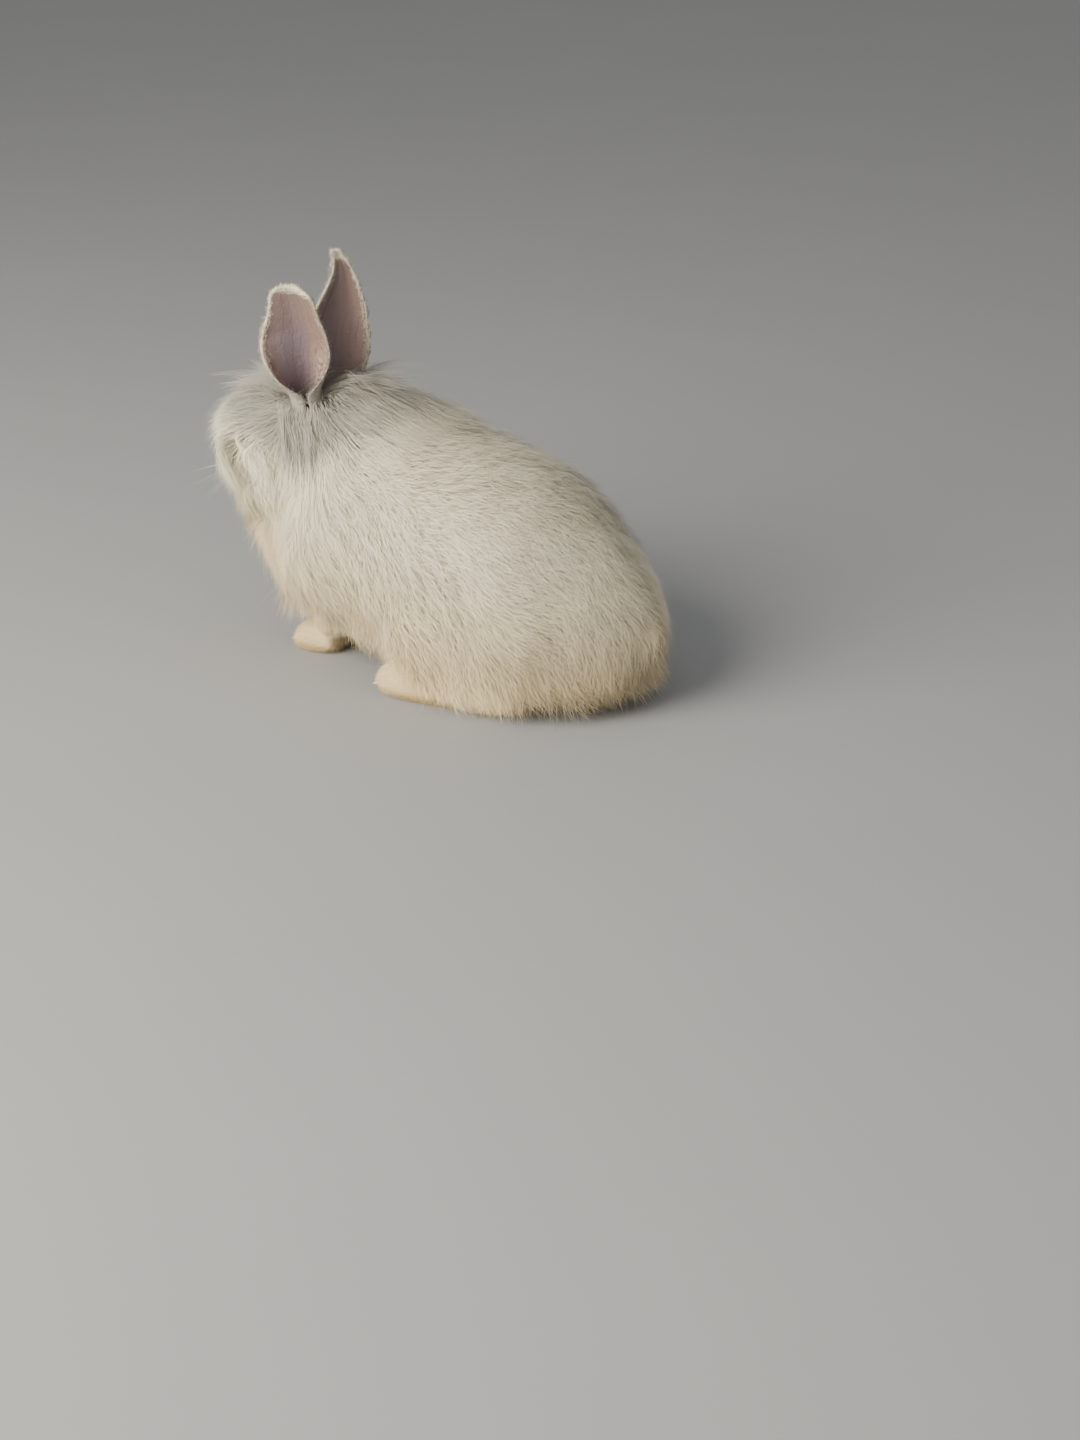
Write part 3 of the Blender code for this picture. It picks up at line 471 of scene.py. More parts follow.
def times(tree, colour, by):
    """A colour times a number or times another colour."""
    operation, slot = ("MULTIPLY", 1) if isinstance(by, tuple) else ("SCALE", "Scale")
    return node(tree, "ShaderNodeVectorMath", {"operation": operation}, {0: colour, slot: by})


def attribute(tree, name):
    return node(tree, "ShaderNodeAttribute", {"attribute_name": name}, output=2)


def place(tree):
    return node(tree, "ShaderNodeTexCoord", output=3)


def axes(tree, vector):
    return [node(tree, "ShaderNodeSeparateXYZ", (), {0: vector}, i) for i in range(3)]


def noise(tree, vector, scale, detail=2.0):
    return node(tree, "ShaderNodeTexNoise", (), {"Vector": vector, "Scale": scale, "Detail": detail})


def distance(tree, vector, at):
    return node(tree, "ShaderNodeVectorMath", {"operation": "DISTANCE"}, {0: vector, 1: tuple(world(at))}, 1)


def bump(tree, height, strength, depth):
    return node(tree, "ShaderNodeBump", (), {"Strength": strength, "Distance": depth, "Height": height})


def new_material(name, **constants):
    """A material and its node tree, with the constants set on its shader's own sockets."""
    made = bpy.data.materials.new(name)
    made.use_nodes = True
    shader = made.node_tree.nodes["Principled BSDF"]
    for key, value in constants.items():
        shader.inputs[key.replace("_", " ")].default_value = value
    return made, made.node_tree


def feed(tree, **links):
    """Links sockets into the material's shader."""
    shader = tree.nodes["Principled BSDF"]
    for key, value in links.items():
        tree.links.new(value.output, shader.inputs[key.replace("_", " ")])


def coat_colour(tree, settings):
    """The markings that skin and coat share, worked out from the place on the rabbit. The grey is partly painted
    shade, and the cream towards the floor partly painted warm light from below.
    """
    at = place(tree)
    x, _, z = axes(tree, at)
    # Cream towards the floor: partly cream hair, partly painted warm light bounced from below
    low = z.ramp(0.085, 0.012) * 0.85
    front = x.ramp(-0.045, -0.105) * z.ramp(0.094, 0.056)
    patch = noise(tree, at, 28.0) * 0.5
    cream_and_bounced_light = low + front * (1 - low) + patch * 0.3 - 0.05
    colour = blend(tree, cream_and_bounced_light, tuple(settings.white), tuple(settings.cream))
    # Grey hair mixed with painted shade on the brow, the nape and below the near ear
    grey_and_shade = sum(distance(tree, at, spot).ramp(end, full) * strength for spot, end, full, strength in GREY_AND_SHADE_SPOTS)
    grey_and_shade = grey_and_shade * (noise(tree, at, 55.0) + 0.35) * (0.5 + attribute(tree, "shade") * 0.5)
    colour = blend(tree, grey_and_shade, colour, tuple(settings.grey_and_shade))
    near_feet = sum(
        distance(tree, at, sided(spot, side)).ramp(end, full) for spot, end, full in STAINS for side in SIDES
    )
    sole = z.ramp(0.0075, 0.0035) * (noise(tree, at, 90.0) + 0.4)
    dusty = z.ramp(0.03, 0.006) * 0.3
    return blend(tree, sole.maths("MAXIMUM", dusty) * near_feet, colour, tuple(settings.stain))


def coat_material(settings):
    """Hair: darker and warmer at its root as painted shade deep in the coat, paler at its tip, with a shade of its own
    for each tuft.
    """
    made, tree = new_material(
        "rabbit_coat", Roughness=0.9, Sheen_Weight=0.15, Sheen_Roughness=0.6, Specular_IOR_Level=0.08
    )
    colour = coat_colour(tree, settings)
    # Painted shade deep in the coat: the roots a little darker and warmer
    to_tip = attribute(tree, "share").ramp(-0.2, 0.5)
    colour = blend(tree, to_tip, times(tree, colour, (0.96, 0.94, 0.90)), colour)
    mottle = noise(tree, place(tree), 24.0)
    feed(tree, Base_Color=times(tree, colour, attribute(tree, "shade") * 0.08 + mottle * 0.12 + 0.88))
    return made


def skin_material(coat, head):
    """Skin: the coat's own colour, a little darkened as painted shade, where hair covers it, pink on nose, lips and
    lids.
    """
    made, tree = new_material("rabbit_skin", Roughness=0.75)
    at = place(tree)
    bare = distance(tree, at, in_head((79.5, 0, 1.5))).ramp(0.0085, 0.0045)
    bare = bare + distance(tree, at, in_head((80, 0, -8))).ramp(0.0075, 0.003) * 0.8
    for side in SIDES:
        bare = bare + distance(tree, at, in_head(EYE_AT, side)).ramp(0.0098, 0.0084) * 0.8
    # Painted shade between the hairs: under the coat the coat's colour is a little darker
    under = times(tree, coat_colour(tree, coat), (0.92, 0.88, 0.84))
    colour = blend(tree, bare, under, tuple(head.skin))
    pores = noise(tree, at, 1400.0, 3.0)
    feed(tree, Base_Color=colour, Roughness=0.8 - bare * 0.25, Normal=bump(tree, pores, 0.35, 0.0004))
    return made


def ear_material(coat, head):
    """Thin ear skin: mauve deep in the cup, peach on its rear wall, branching veins and a pale furred rim. The far
    ear's inside is painted lighter, as painted light against the shade it lies in.
    """
    made, tree = new_material("rabbit_ear", Subsurface_Weight=0.12, Subsurface_Scale=0.004)
    at = place(tree)
    across, along, inner = (attribute(tree, name) for name in ("across", "along", "inner"))
    warp = noise(tree, at, 60.0, 3.0)
    fine = noise(tree, at, 700.0, 3.0)
    shifted = across + warp * 0.5 - 0.25
    # far marks the far ear, whose inside is painted lighter, with less mauve and peach, as painted light against its
    # shade
    far = axes(tree, at)[1].ramp(0.0, 0.005)
    mauve = (1 - far * 0.7) * shifted.ramp(0.55, 0.0) * shifted.ramp(-0.95, -0.5) * along.ramp(0.85, 0.45)
    peach = (1 - far * 0.75) * shifted.ramp(0.0, 0.35) * along.ramp(0.22, 0.5) * along.ramp(1.0, 0.8)
    colour = blend(tree, mauve * 0.85, tuple(head.flush), tuple(head.mauve))
    colour = blend(tree, peach * 0.75, colour, tuple(head.peach))
    veins = ear_veins(tree, across, along, warp) * inner
    colour = blend(tree, veins * 0.45, colour, VEIN)
    # Painted shade along a fold inside the far ear, which the bump also carves in
    shaded_fold = (across + 0.33 + warp * 0.12).maths("ABSOLUTE").ramp(0.05, 0.0)
    shaded_fold = shaded_fold * along.ramp(0.95, 0.75) * inner * far
    colour = blend(tree, shaded_fold * 0.5, colour, FOLD_SHADE)
    edge = across * across - across.ramp(0, 0.3) * 0.14 + (warp - 0.5) * 0.3 + (fine - 0.5) * 0.4
    rim = edge.ramp(0.78, 1.05).maths("MAXIMUM", (along + (fine - 0.5) * 0.15).ramp(0.92, 1.03))
    low_rim = (across.ramp(0.05, 0.6) + across.ramp(-0.6, -0.9)) * along.ramp(0.62, 0.40) * (1 - far)
    wrinkles = node(tree, "ShaderNodeTexNoise", (), {"Vector": at, "Scale": 260.0, "Detail": 3.0, "Distortion": 1.2})
    flesh = blend(tree, wrinkles.ramp(0.35, 0.62), *FLESH)
    colour = blend(tree, low_rim * 0.8, colour, flesh)
    # The inside is darker than the rim; on the far ear less so, as painted light
    colour = blend(tree, inner, colour, times(tree, colour, 0.57 + far * 0.13))
    furred = 1 - inner * (1 - rim * along.ramp(0.2, 0.6))
    colour = blend(tree, furred, colour, coat_colour(tree, coat))
    height = wrinkles * (0.8 + low_rim * 2.2) + fine * 0.5 - veins * 0.3 - shaded_fold
    feed(tree, Base_Color=colour, Roughness=0.5 + furred * 0.3, Normal=bump(tree, height, 0.6, 0.0007))
    return made


def ear_veins(tree, across, along, warp):
    """Veins that run up the ear and spread towards its edges."""
    fan = across * (1.6 - along * 0.7) + (warp - 0.5) * 0.7
    wave = (fan * 13).maths("SINE").maths("ABSOLUTE")
    return wave.ramp(0.2, 0.02) * warp.ramp(0.40, 0.62)


def eye_material(head):
    """A dark iris with fine spokes round a large pupil, under a wet gloss."""
    made, tree = new_material("rabbit_eye", Roughness=0.12, Coat_Weight=1.0, Coat_Roughness=0.03, Coat_IOR=1.45)
    turn = attribute(tree, "off_axis")
    fan = node(tree, "ShaderNodeCombineXYZ", (), {0: attribute(tree, "spin") * 9, 1: turn * 1.2})
    spokes = node(tree, "ShaderNodeTexNoise", {"noise_dimensions": "2D"}, {"Vector": fan, "Scale": 2.2})
    dark, bright = (tuple(scale * c for c in head.iris) for scale in (0.5, 1.7))
    iris = blend(tree, spokes.ramp(0.35, 0.75), dark, bright)
    colour = blend(tree, turn.ramp(*PUPIL_END), PUPIL, iris)
    colour = blend(tree, turn.ramp(*IRIS_END), colour, IRIS_EDGE)
    colour = blend(tree, turn.ramp(*EDGE_END), colour, EYE_WHITE)
    feed(tree, Base_Color=colour)
    return made


# Mesh making


def named(part, side, kind=""):
    return f"{part}_{'left' if side < 0 else 'right'}{kind}"


def link(name, mesh):
    made = bpy.data.objects.new(name, mesh)
    bpy.context.scene.collection.objects.link(made)
    return made


def closed_object(name, points, faces):
    """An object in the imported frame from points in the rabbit's millimetres, with its faces pointing out."""
    mesh = bpy.data.meshes.new(name)
    mesh.from_pydata([tuple(world(p)) for p in points], [], faces)
    work = bmesh.new()
    work.from_mesh(mesh)
    bmesh.ops.recalc_face_normals(work, faces=work.faces)
    if work.calc_volume(signed=True) < 0:
        bmesh.ops.reverse_faces(work, faces=work.faces)
    work.to_mesh(mesh)
    work.free()
    return link(name, mesh)


def fast_mesh(name, points, triangles):
    """A mesh from arrays of points in millimetres and triangles."""
    mesh = bpy.data.meshes.new(name)
    mesh.vertices.add(len(points))
    mesh.vertices.foreach_set("co", (points * MM + NP_ORIGIN).astype(np.float32).ravel())
    mesh.loops.add(len(triangles) * 3)
    mesh.loops.foreach_set("vertex_index", triangles.astype(np.int32).ravel())
    mesh.polygons.add(len(triangles))
    mesh.polygons.foreach_set("loop_start", np.arange(0, len(triangles) * 3, 3, dtype=np.int32))
    mesh.update(calc_edges=True)
    mesh.shade_smooth()
    return mesh


def numbers(items, name, width, kind=np.float32):
    """One value of all of a mesh's items, as an array of rows."""
    found = np.empty(len(items) * width, kind)
    items.foreach_get(name, found)
    return found.reshape(-1, width)


def point_values(mesh, name, values):
    made = mesh.attributes.new(name, "FLOAT", "POINT")
    made.data.foreach_set("value", np.asarray(values, np.float32).ravel())


def ring(half_width, low, high, square, sides, square_low=None):
    """Points of one section, across and up: a superellipse that may be squarer below."""
    found = []
    for angle in turns(sides):
        c, s = math.cos(angle), math.sin(angle)
        power = 2 / (square_low if square_low and s < 0 else square)
        across = half_width * math.copysign(abs(c) ** power, c)
        found.append((across, (low + high) / 2 + (high - low) / 2 * math.copysign(abs(s) ** power, s)))
    return found


def bands(rows, sides, start=0, wrap=False):
    """Faces between rings of points. wrap also joins the last ring to the first."""
    faces = []
    for i in range(rows if wrap else rows - 1):
        low, high = start + i * sides, start + (i + 1) % rows * sides
        faces += [(low + k, low + (k + 1) % sides, high + (k + 1) % sides, high + k) for k in range(sides)]
    return faces


def loft(name, rings):
    """A closed solid through rings of points, with a fan at each end."""
    sides = len(rings[0])
    points = [p for r in rings for p in r]
    faces = bands(len(rings), sides)
    for start in (0, (len(rings) - 1) * sides):
        points.append(sum((Vector(p) for p in points[start:start + sides]), Vector()) / sides)
        faces += [(start + k, start + (k + 1) % sides, len(points) - 1) for k in range(sides)]
    return closed_object(name, points, faces)


def ellipsoid(name, at, radii, turn=Matrix.Identity(3), segments=32):
    mesh = bpy.data.meshes.new(name)
    work = bmesh.new()
    bmesh.ops.create_uvsphere(work, u_segments=segments, v_segments=segments // 2, radius=1)
    for v in work.verts:
        v.co = world(turn @ Vector((v.co.x * radii[0], v.co.y * radii[1], v.co.z * radii[2])) + Vector(at))
    work.to_mesh(mesh)
    work.free()
    return link(name, mesh)


def tube(name, centres, radii, flat=1.0, sides=18):
    """Round sections along a chain of centres. flat squeezes them across the chain's upward side."""
    rings = []
    for i, centre in enumerate(centres):
        along = (centres[min(i + 1, len(centres) - 1)] - centres[max(i - 1, 0)]).normalized()
        side = along.cross(Vector((0, 0, 1)))
        if side.length < 0.2:
            side = along.cross(Vector((1, 0, 0)))
        side.normalize()
        up = side.cross(along)
        rings.append([
            centre + side * radii[i] * math.cos(a) + up * radii[i] * flat * math.sin(a) for a in turns(sides)
        ])
    return loft(name, rings)


def turns(count):
    """Angles evenly round a circle."""
    return [2 * math.pi * k / count for k in range(count)]


def chain(start, end, steps):
    return [start.lerp(end, s) for s in steps]


def evenly(count):
    return [i / (count - 1) for i in range(count)]


def head_pad(name, at, radii, side=-1, segments=24):
    return ellipsoid(name, in_head(at, side), radii, head_turn(), segments)


def join(name, parts):
    work = bmesh.new()
    for part in parts:
        work.from_mesh(part.data)
        bpy.data.objects.remove(part)
    mesh = bpy.data.meshes.new(name)
    work.to_mesh(mesh)
    work.free()
    return link(name, mesh)


def apply_modifiers(thing):
    mesh = bpy.data.meshes.new_from_object(thing.evaluated_get(bpy.context.evaluated_depsgraph_get()))
    thing.modifiers.clear()
    thing.data = mesh
    return thing


def cut(thing, cutter):
    step = thing.modifiers.new("cut", "BOOLEAN")
    step.operation = "DIFFERENCE"
    step.solver = "MANIFOLD"
    step.object = cutter
    apply_modifiers(thing)
    bpy.data.objects.remove(cutter)


# Skin


def trunk():
    rings = []
    for x, low, high, half, shift in TRUNK:
        share = min(max((x - RUMP_FROM) / (RUMP_TO - RUMP_FROM), 0), 1)
        square = TRUNK_SQUARE + (TRUNK_SQUARE_RUMP - TRUNK_SQUARE) * share
        section = ring(half, low, high, square, 48, TRUNK_SQUARE_LOW)
        rings.append([Vector((x, shift + across, up)) for across, up in section])
    return loft("trunk", rings)


def skull():
    rings = []
    for forward, low, high, half in HEAD:
        rings.append([in_head((forward, across, up)) for across, up in ring(half, low, high, HEAD_SQUARE, 40)])
    return loft("skull", rings)


def lid_ring(side, rings=28, sides=8):
    """A raised rim round the eye, thicker above than below."""
    middle = in_head(EYE_AT, side)
    turn = head_turn()
    outward = turn.col[1] * -side
    points = []
    for a in turns(rings):
        spoke = turn.col[0] * math.cos(a) + turn.col[2] * math.sin(a) * LID_FLAT
        thick = LID_THICK * (1 + 0.25 * max(math.sin(a), 0))
        for b in turns(sides):
            around, rise = LID_RING + thick * math.cos(b), LID_RISE + thick * math.sin(b)
            points.append(middle + spoke * around + outward * rise)
    return closed_object("lid", points, bands(rings, sides, wrap=True))


def toes(heel, toe, half_width, side):
    """Places of the toes across a foot: middle of each toe, its turn, and the way it points."""
    start = sided(heel, side)
    end = sided(toe, side)
    along = (end - start).normalized()
    across = Vector((along.y, -along.x, 0)).normalized()
    turn = Matrix((along, across, along.cross(across))).transposed()
    for spread in TOE_SPREAD:
        yield end - along * (TOE_INSET + abs(spread) * TOE_ARC) + across * half_width * spread, turn, along


def limb_forms(side):
    made = []
    for heel, toe, steps, widths, flat, index in FEET:
        made.append(tube("foot", chain(sided(heel, side), sided(toe, side), steps), widths, flat))
        for at, turn, _ in toes(heel, toe, widths[index], side):
            made.append(ellipsoid("toe", at, TOE_RADII, turn, 16))
    leg = chain(sided(FORELEG_TOP, side), sided(WRIST_AT, side), (0, 0.35, 0.75, 1))
    made.append(tube("foreleg", leg, FORELEG_RADII))
    for at, radii in (THIGH, KNEE, SHOULDER):
        made.append(ellipsoid("haunch", sided(at, side), radii))
    return made


def skin_forms():
    neck = chain(NECK_FROM, in_head(NECK_TO_HEAD), evenly(5))
    tail = chain(TAIL_ROOT, TAIL_TIP, evenly(5))
    made = [trunk(), skull(), tube("neck", neck, NECK_RADII), tube("tail", tail, TAIL_RADII)]
    made += [head_pad("chin", *CHIN_PAD), head_pad("nose", *NOSE_PAD)]
    for side in SIDES:
        made += limb_forms(side)
        made += [head_pad("pad", at, radii, side) for at, radii in FACE_PADS]
    return made


def melt(thing, rounds):
    remesh = thing.modifiers.new("melt", "REMESH")
    remesh.mode = "VOXEL"
    remesh.voxel_size = VOXEL * MM
    smooth = thing.modifiers.new("soften", "SMOOTH")
    smooth.factor = 0.6
    smooth.iterations = rounds
    return apply_modifiers(thing)


def head_places(points):
    """Points in the head's forward, left and up, in millimetres."""
    return (points - np.array(HEAD_AT)) @ HEAD_AXES


def far_from(points, at):
    return np.linalg.norm(points - np.array(at), axis=-1)


def near_line(points, start, end):
    """How far points lie from a line between two places."""
    start, way = np.array(start), np.array(end) - np.array(start)
    share = np.clip(((points - start) @ way) / (way @ way), 0, 1)
    return np.linalg.norm(points - start - share[:, None] * way, axis=1)


def foot_share(points):
    near = [near_line(points, sided(a, s), sided(b, s)) for s in SIDES
            for a, b in ((FOOT_HEEL, FOOT_TOE), (FOREPAW_HEEL, FOREPAW_TOE))]
    return ramp(16, 12.5, np.min(near, axis=0)) * ramp(22, 15, points[:, 2])


def leg_share(points):
    near = [near_line(points, sided(FORELEG_TOP, s), sided(WRIST_AT, s)) for s in SIDES]
    return ramp(19, 14, np.min(near, axis=0)) * ramp(48, 36, points[:, 2])


def neck_side(points):
    """How far points lie in front of the plane between neck and torso."""
    normal = (NECK_CUT_HIGH - NECK_CUT_LOW).cross(Vector((0, 1, 0))).normalized()
    normal = -normal if normal.x > 0 else normal
    return (points - np.array(NECK_CUT_LOW)) @ np.array(normal)


def head_share(points):
    local = head_places(points)
    return ramp(-13, -3, local[:, 0]) * ramp(HEAD_LOW - 5, HEAD_LOW + 3, local[:, 2])


def skin_depth(points, normals):
    head = head_share(points)
    neck = ramp(-8, 8, neck_side(points)) * (1 - head)
    face = ramp(4, 34, head_places(points)[:, 0])
    depth = DEPTH_BODY + (DEPTH_NECK - DEPTH_BODY) * neck
    depth += (DEPTH_FACE - depth) * face * head
    belly = ramp(-0.2, -0.8, normals[:, 2]) * ramp(30, 15, points[:, 2])
    depth += (DEPTH_BELLY - depth) * belly
    feet_too = np.maximum(foot_share(points), leg_share(points))
    return depth + (DEPTH_FEET - depth) * feet_too


def sink(thing):
    """Moves the skin in from the coat's tips, by a depth that is smoothed over its neighbours."""
    mesh = thing.data
    count = len(mesh.vertices)
    normals = numbers(mesh.vertices, "normal", 3)
    local = (numbers(mesh.vertices, "co", 3) - NP_ORIGIN) / MM
    depth = skin_depth(local, normals)
    a, b = numbers(mesh.edges, "vertices", 2, np.int32).T
    near = np.bincount(a, minlength=count) + np.bincount(b, minlength=count) + 1
    for _ in range(DEPTH_ROUNDS):
        total = np.bincount(a, depth[b], count) + np.bincount(b, depth[a], count) + depth
        depth = total / near
    local -= normals * depth[:, None]
    local[:, 2] = np.maximum(local[:, 2], FLOOR_CLEAR)
    mesh.vertices.foreach_set("co", (local * MM + NP_ORIGIN).astype(np.float32).ravel())
    mesh.update()


def skin_groove(tree, line, radius, flat, side):
    centres = [(tree.find_nearest(world(in_head(at, side)))[0] - ORIGIN) / MM for at in line]
    return tube("groove", centres, [radius] * len(centres), flat, 8)


def build_skin():
    skin = melt(join("skin", skin_forms()), SKIN_SMOOTH)
    skin.data.name = "skin"
    sink(skin)
    skin = join("skin", [skin] + [lid_ring(side) for side in SIDES])
    skin = melt(skin, 1)
    tree = mesh_tree(skin)
    cutters = [skin_groove(tree, CLEFT_LINE, CLEFT_RADIUS, 1.0, -1)]
    for side in SIDES:
        cutters.append(skin_groove(tree, MOUTH_LINE, MOUTH_RADIUS, MOUTH_FLAT, side))
        cutters.append(head_pad("nostril", NOSTRIL_AT, NOSTRIL_RADII, side, 12))
        cutters.append(head_pad("socket", EYE_AT, [EYE_RADIUS + SOCKET_GAP] * 3, side, 32))
    skin.modifiers.new("corners", "TRIANGULATE")
    apply_modifiers(skin)
    before = set(map(tuple, numbers(skin.data.vertices, "co", 3).tolist()))
    for cutter in cutters:
        cut(skin, cutter)
    settle(skin, before)
    return skin


def settle(skin, before):
    """Sorts the faces that the cuts made. They come last, and without this in another order at each run."""
    mesh = skin.data
    mesh.calc_loop_triangles()
    points = numbers(mesh.vertices, "co", 3)
    faces = numbers(mesh.loop_triangles, "vertices", 3, np.int32)
    made = np.array([tuple(point) not in before for point in points.tolist()])
    start = np.flatnonzero(~made[faces].all(1))[-1] + 1
    last = faces[start:]
    first = last.argmin(1)
    last = np.stack([last[np.arange(len(last)), (first + i) % 3] for i in range(3)], 1)
    faces[start:] = last[np.lexsort(last.T[::-1])]
    skin.data = fast_mesh("skin", (points - NP_ORIGIN) / MM, faces)


def mesh_tree(thing):
    mesh = thing.data
    return BVHTree.FromPolygons([v.co for v in mesh.vertices], [tuple(p.vertices) for p in mesh.polygons])


# The field of the skin, which the coat follows


class Field:
    """How far points lie from the skin, the way out of it, and where they lie on its unwrap."""

    def __init__(self, skin):
        self.read_faces(skin)
        self.tree = mesh_tree(skin)
        self.fill_grid()
        self.unwrap(skin)

    def read_faces(self, skin):
        mesh = skin.data
        mesh.calc_loop_triangles()
        self.points = (numbers(mesh.vertices, "co", 3) - NP_ORIGIN) / MM
        self.faces = numbers(mesh.loop_triangles, "vertices", 3, np.int32)
        a, b, c = (self.points[self.faces[:, i]] for i in range(3))
        self.areas = np.linalg.norm(np.cross(b - a, c - a), axis=1) / 2
        self.middles = (a + b + c) / 3
        self.face_normals = unit(np.cross(b - a, c - a))

    def fill_grid(self):
        self.low = self.points.min(0) - GRID_MARGIN
        self.size = np.ceil((self.points.max(0) + GRID_MARGIN - self.low) / GRID).astype(int) + 1
        steps = [self.low[i] + GRID * np.arange(self.size[i]) for i in range(3)]
        spots = np.stack(np.meshgrid(*steps, indexing="ij"), -1).reshape(-1, 3)
        found = np.empty(len(spots))
        for i, spot in enumerate(spots * MM + NP_ORIGIN):
            near, normal, _, away = self.tree.find_nearest(spot)
            inside = sum((near[j] - spot[j]) * normal[j] for j in range(3))
            found[i] = -away if inside > 0 else away
        grid = found.reshape(self.size) / MM
        self.grid = np.stack([grid, *np.gradient(grid, GRID)], -1)

    def sample(self, points):
        """Distance from the skin and the way out of it, by blending between the grid's spots."""
        at = np.clip((points - self.low) / GRID, 0, self.size - 1.001)
        cell = at.astype(int)
        share = at - cell
        total = 0
        for corner in range(8):
            step = np.array([corner >> 2 & 1, corner >> 1 & 1, corner & 1])
            weight = np.prod(np.where(step, share, 1 - share), axis=1)
            i, j, k = (cell + step).T
            total = total + self.grid[i, j, k] * weight[:, None]
        return total[:, 0], unit(total[:, 1:])

    def unwrap(self, skin):
        """A coarse copy of the skin, unfolded, whose map gives each root its place."""
        copy = link("unwrap", skin.data.copy())
        thin = copy.modifiers.new("thin", "DECIMATE")
        thin.ratio = MAP_FACES / len(copy.data.polygons)
        apply_modifiers(copy)
        bpy.context.view_layer.objects.active = copy
        copy.select_set(True)
        bpy.ops.object.mode_set(mode="EDIT")
        bpy.ops.mesh.select_all(action="SELECT")
        bpy.ops.uv.smart_project(angle_limit=math.radians(60), island_margin=0.004)
        bpy.ops.object.mode_set(mode="OBJECT")
        mesh = copy.data
        mesh.calc_loop_triangles()
        self.map_faces = [tuple(t.vertices) for t in mesh.loop_triangles]
        self.map_points = np.array([tuple(v.co) for v in mesh.vertices])
        self.map_tree = BVHTree.FromPolygons([v.co for v in mesh.vertices], self.map_faces)
        uv = mesh.uv_layers.active.uv
        self.map_uv = np.array([[tuple(uv[i].vector) for i in t.loops] for t in mesh.loop_triangles])
        bpy.data.objects.remove(copy)

    def place_on_map(self, roots):
        spots = roots * MM + NP_ORIGIN
        faces = np.array([self.map_tree.find_nearest(spot)[2] for spot in spots])
        a, b, c = (self.map_points[np.array(self.map_faces)[faces][:, i]] for i in range(3))
        whole = np.cross(b - a, c - a)
        size = np.maximum((whole * whole).sum(1), 1e-18)
        second = (np.cross(spots - a, c - a) * whole).sum(1) / size
        third = (np.cross(b - a, spots - a) * whole).sum(1) / size
        shares = np.clip(np.stack([1 - second - third, second, third], 1), 0, 1)
        return (self.map_uv[faces] * shares[:, :, None]).sum(1)

    def roots(self, count, weights, draw):
        """Points spread at random over the skin, with more where the weights are larger."""
        total = np.cumsum(self.areas * weights)
        faces = np.searchsorted(total, draw.random(count) * total[-1])
        u, v = draw.random((2, count, 1))
        flip = u + v > 1
        u, v = np.where(flip, 1 - u, u), np.where(flip, 1 - v, v)
        a, b, c = (self.points[self.faces[faces][:, i]] for i in range(3))
        return a + (b - a) * u + (c - a) * v


@functools.cache
def skin_field():
    """The skin's field, worked out once."""
    return Field(bpy.data.objects["skin"])


# Coat


def zone_shares(points, normals):
    """How much each point belongs to each zone of the coat. The shares of a point add up to 1."""
    local = head_places(points)
    forward, _, up = local.T
    head = head_share(points)
    neck = ramp(-22, 10, neck_side(points))
    to_eye = np.min([far_from(points, in_head(ORBIT_AT, side)) for side in SIDES], axis=0)
    wanted = {
        "foot": foot_share(points),
        "leg": leg_share(points),
        "belly": ramp(-0.35, -0.7, normals[:, 2]) * ramp(34, 16, points[:, 2]),
        "tail": ramp(TAIL_REACH + 2, TAIL_REACH - 4, far_from(points, TAIL_MIDDLE)),
        "orbit": head * ramp(11, 7.5, to_eye),
        "muzzle": head * ramp(62, 74, forward),
        "forehead": head * ramp(6, 14, up) * ramp(3, 9, forward) * ramp(56, 44, forward),
        "cheek": head * ramp(16, 30, forward),
        "nape": np.maximum(neck, head) * ramp(0.45, 0.8, normals[:, 2]),
        "ruff": np.maximum(neck, ramp(-92, -106, points[:, 0])) * ramp(-0.3, -0.65, normals[:, 0]) * (1 - head),
        "mane": np.maximum(neck, head),
        "rump": ramp(55, 80, points[:, 0]),
    }
    left = np.ones(len(points))
    shares = {}
    for name, share in wanted.items():
        shares[name] = share * left
        left = left - shares[name]
    shares["body"] = left
    return shares


def zone_values(shares):
    return sum(share[:, None] * np.array(ZONES[name]) for name, share in shares.items())


def lie_of(points, normals, shares):
    """The way the coat lies at each point."""
    forward, left, up = HEAD_AXES.T
    side = np.sign(points[:, 1:2])
    rise = np.maximum(normals[:, 2:3], 0)
    high = ramp(25, 60, points[:, 2:3])
    whorl = np.array((EAR_BASE[-1] + EAR_BASE[1]) / 2 + Vector((4, 0, 6)))
    from_whorl = unit(points - whorl)
    down = np.array([0, 0, -1.0])
    back = np.array([1.0, 0, 0])
    aside = left * np.sign(head_places(points)[:, 1:2])
    ways = {
        "foot": -back,
        "leg": down - 0.2 * back,
        "belly": back,
        "tail": down + 0.35 * back,
        "orbit": -forward + aside * 0.2 - up * 0.25,
        "muzzle": -forward + aside * 0.25 - up * 0.15,
        "forehead": from_whorl + forward * 0.4 + aside * 0.35,
        "cheek": -forward * 0.6 - up * 0.75 + aside * 0.25,
        "nape": from_whorl + back * 0.7 + np.array([0, 0.2, 0]) * side * (1 - rise),
        "mane": from_whorl * 0.8 + down * 0.35 + back * (0.15 + 0.5 * rise),
        "ruff": down + 0.05 * back + np.array([0, 0.15, 0]) * side,
        "rump": down * 0.8 + 0.45 * back,
        "body": back * (0.3 + 0.65 * high) + down * (0.72 - 0.7 * rise),
    }
    total = sum(shares[name][:, None] * unit(way) for name, way in ways.items())
    sway = np.sin(points[:, [1, 2, 0]] * 0.11 + 1.3) * 0.16 + np.sin(points[:, [2, 0, 1]] * 0.31) * 0.10
    return unit(total + sway)


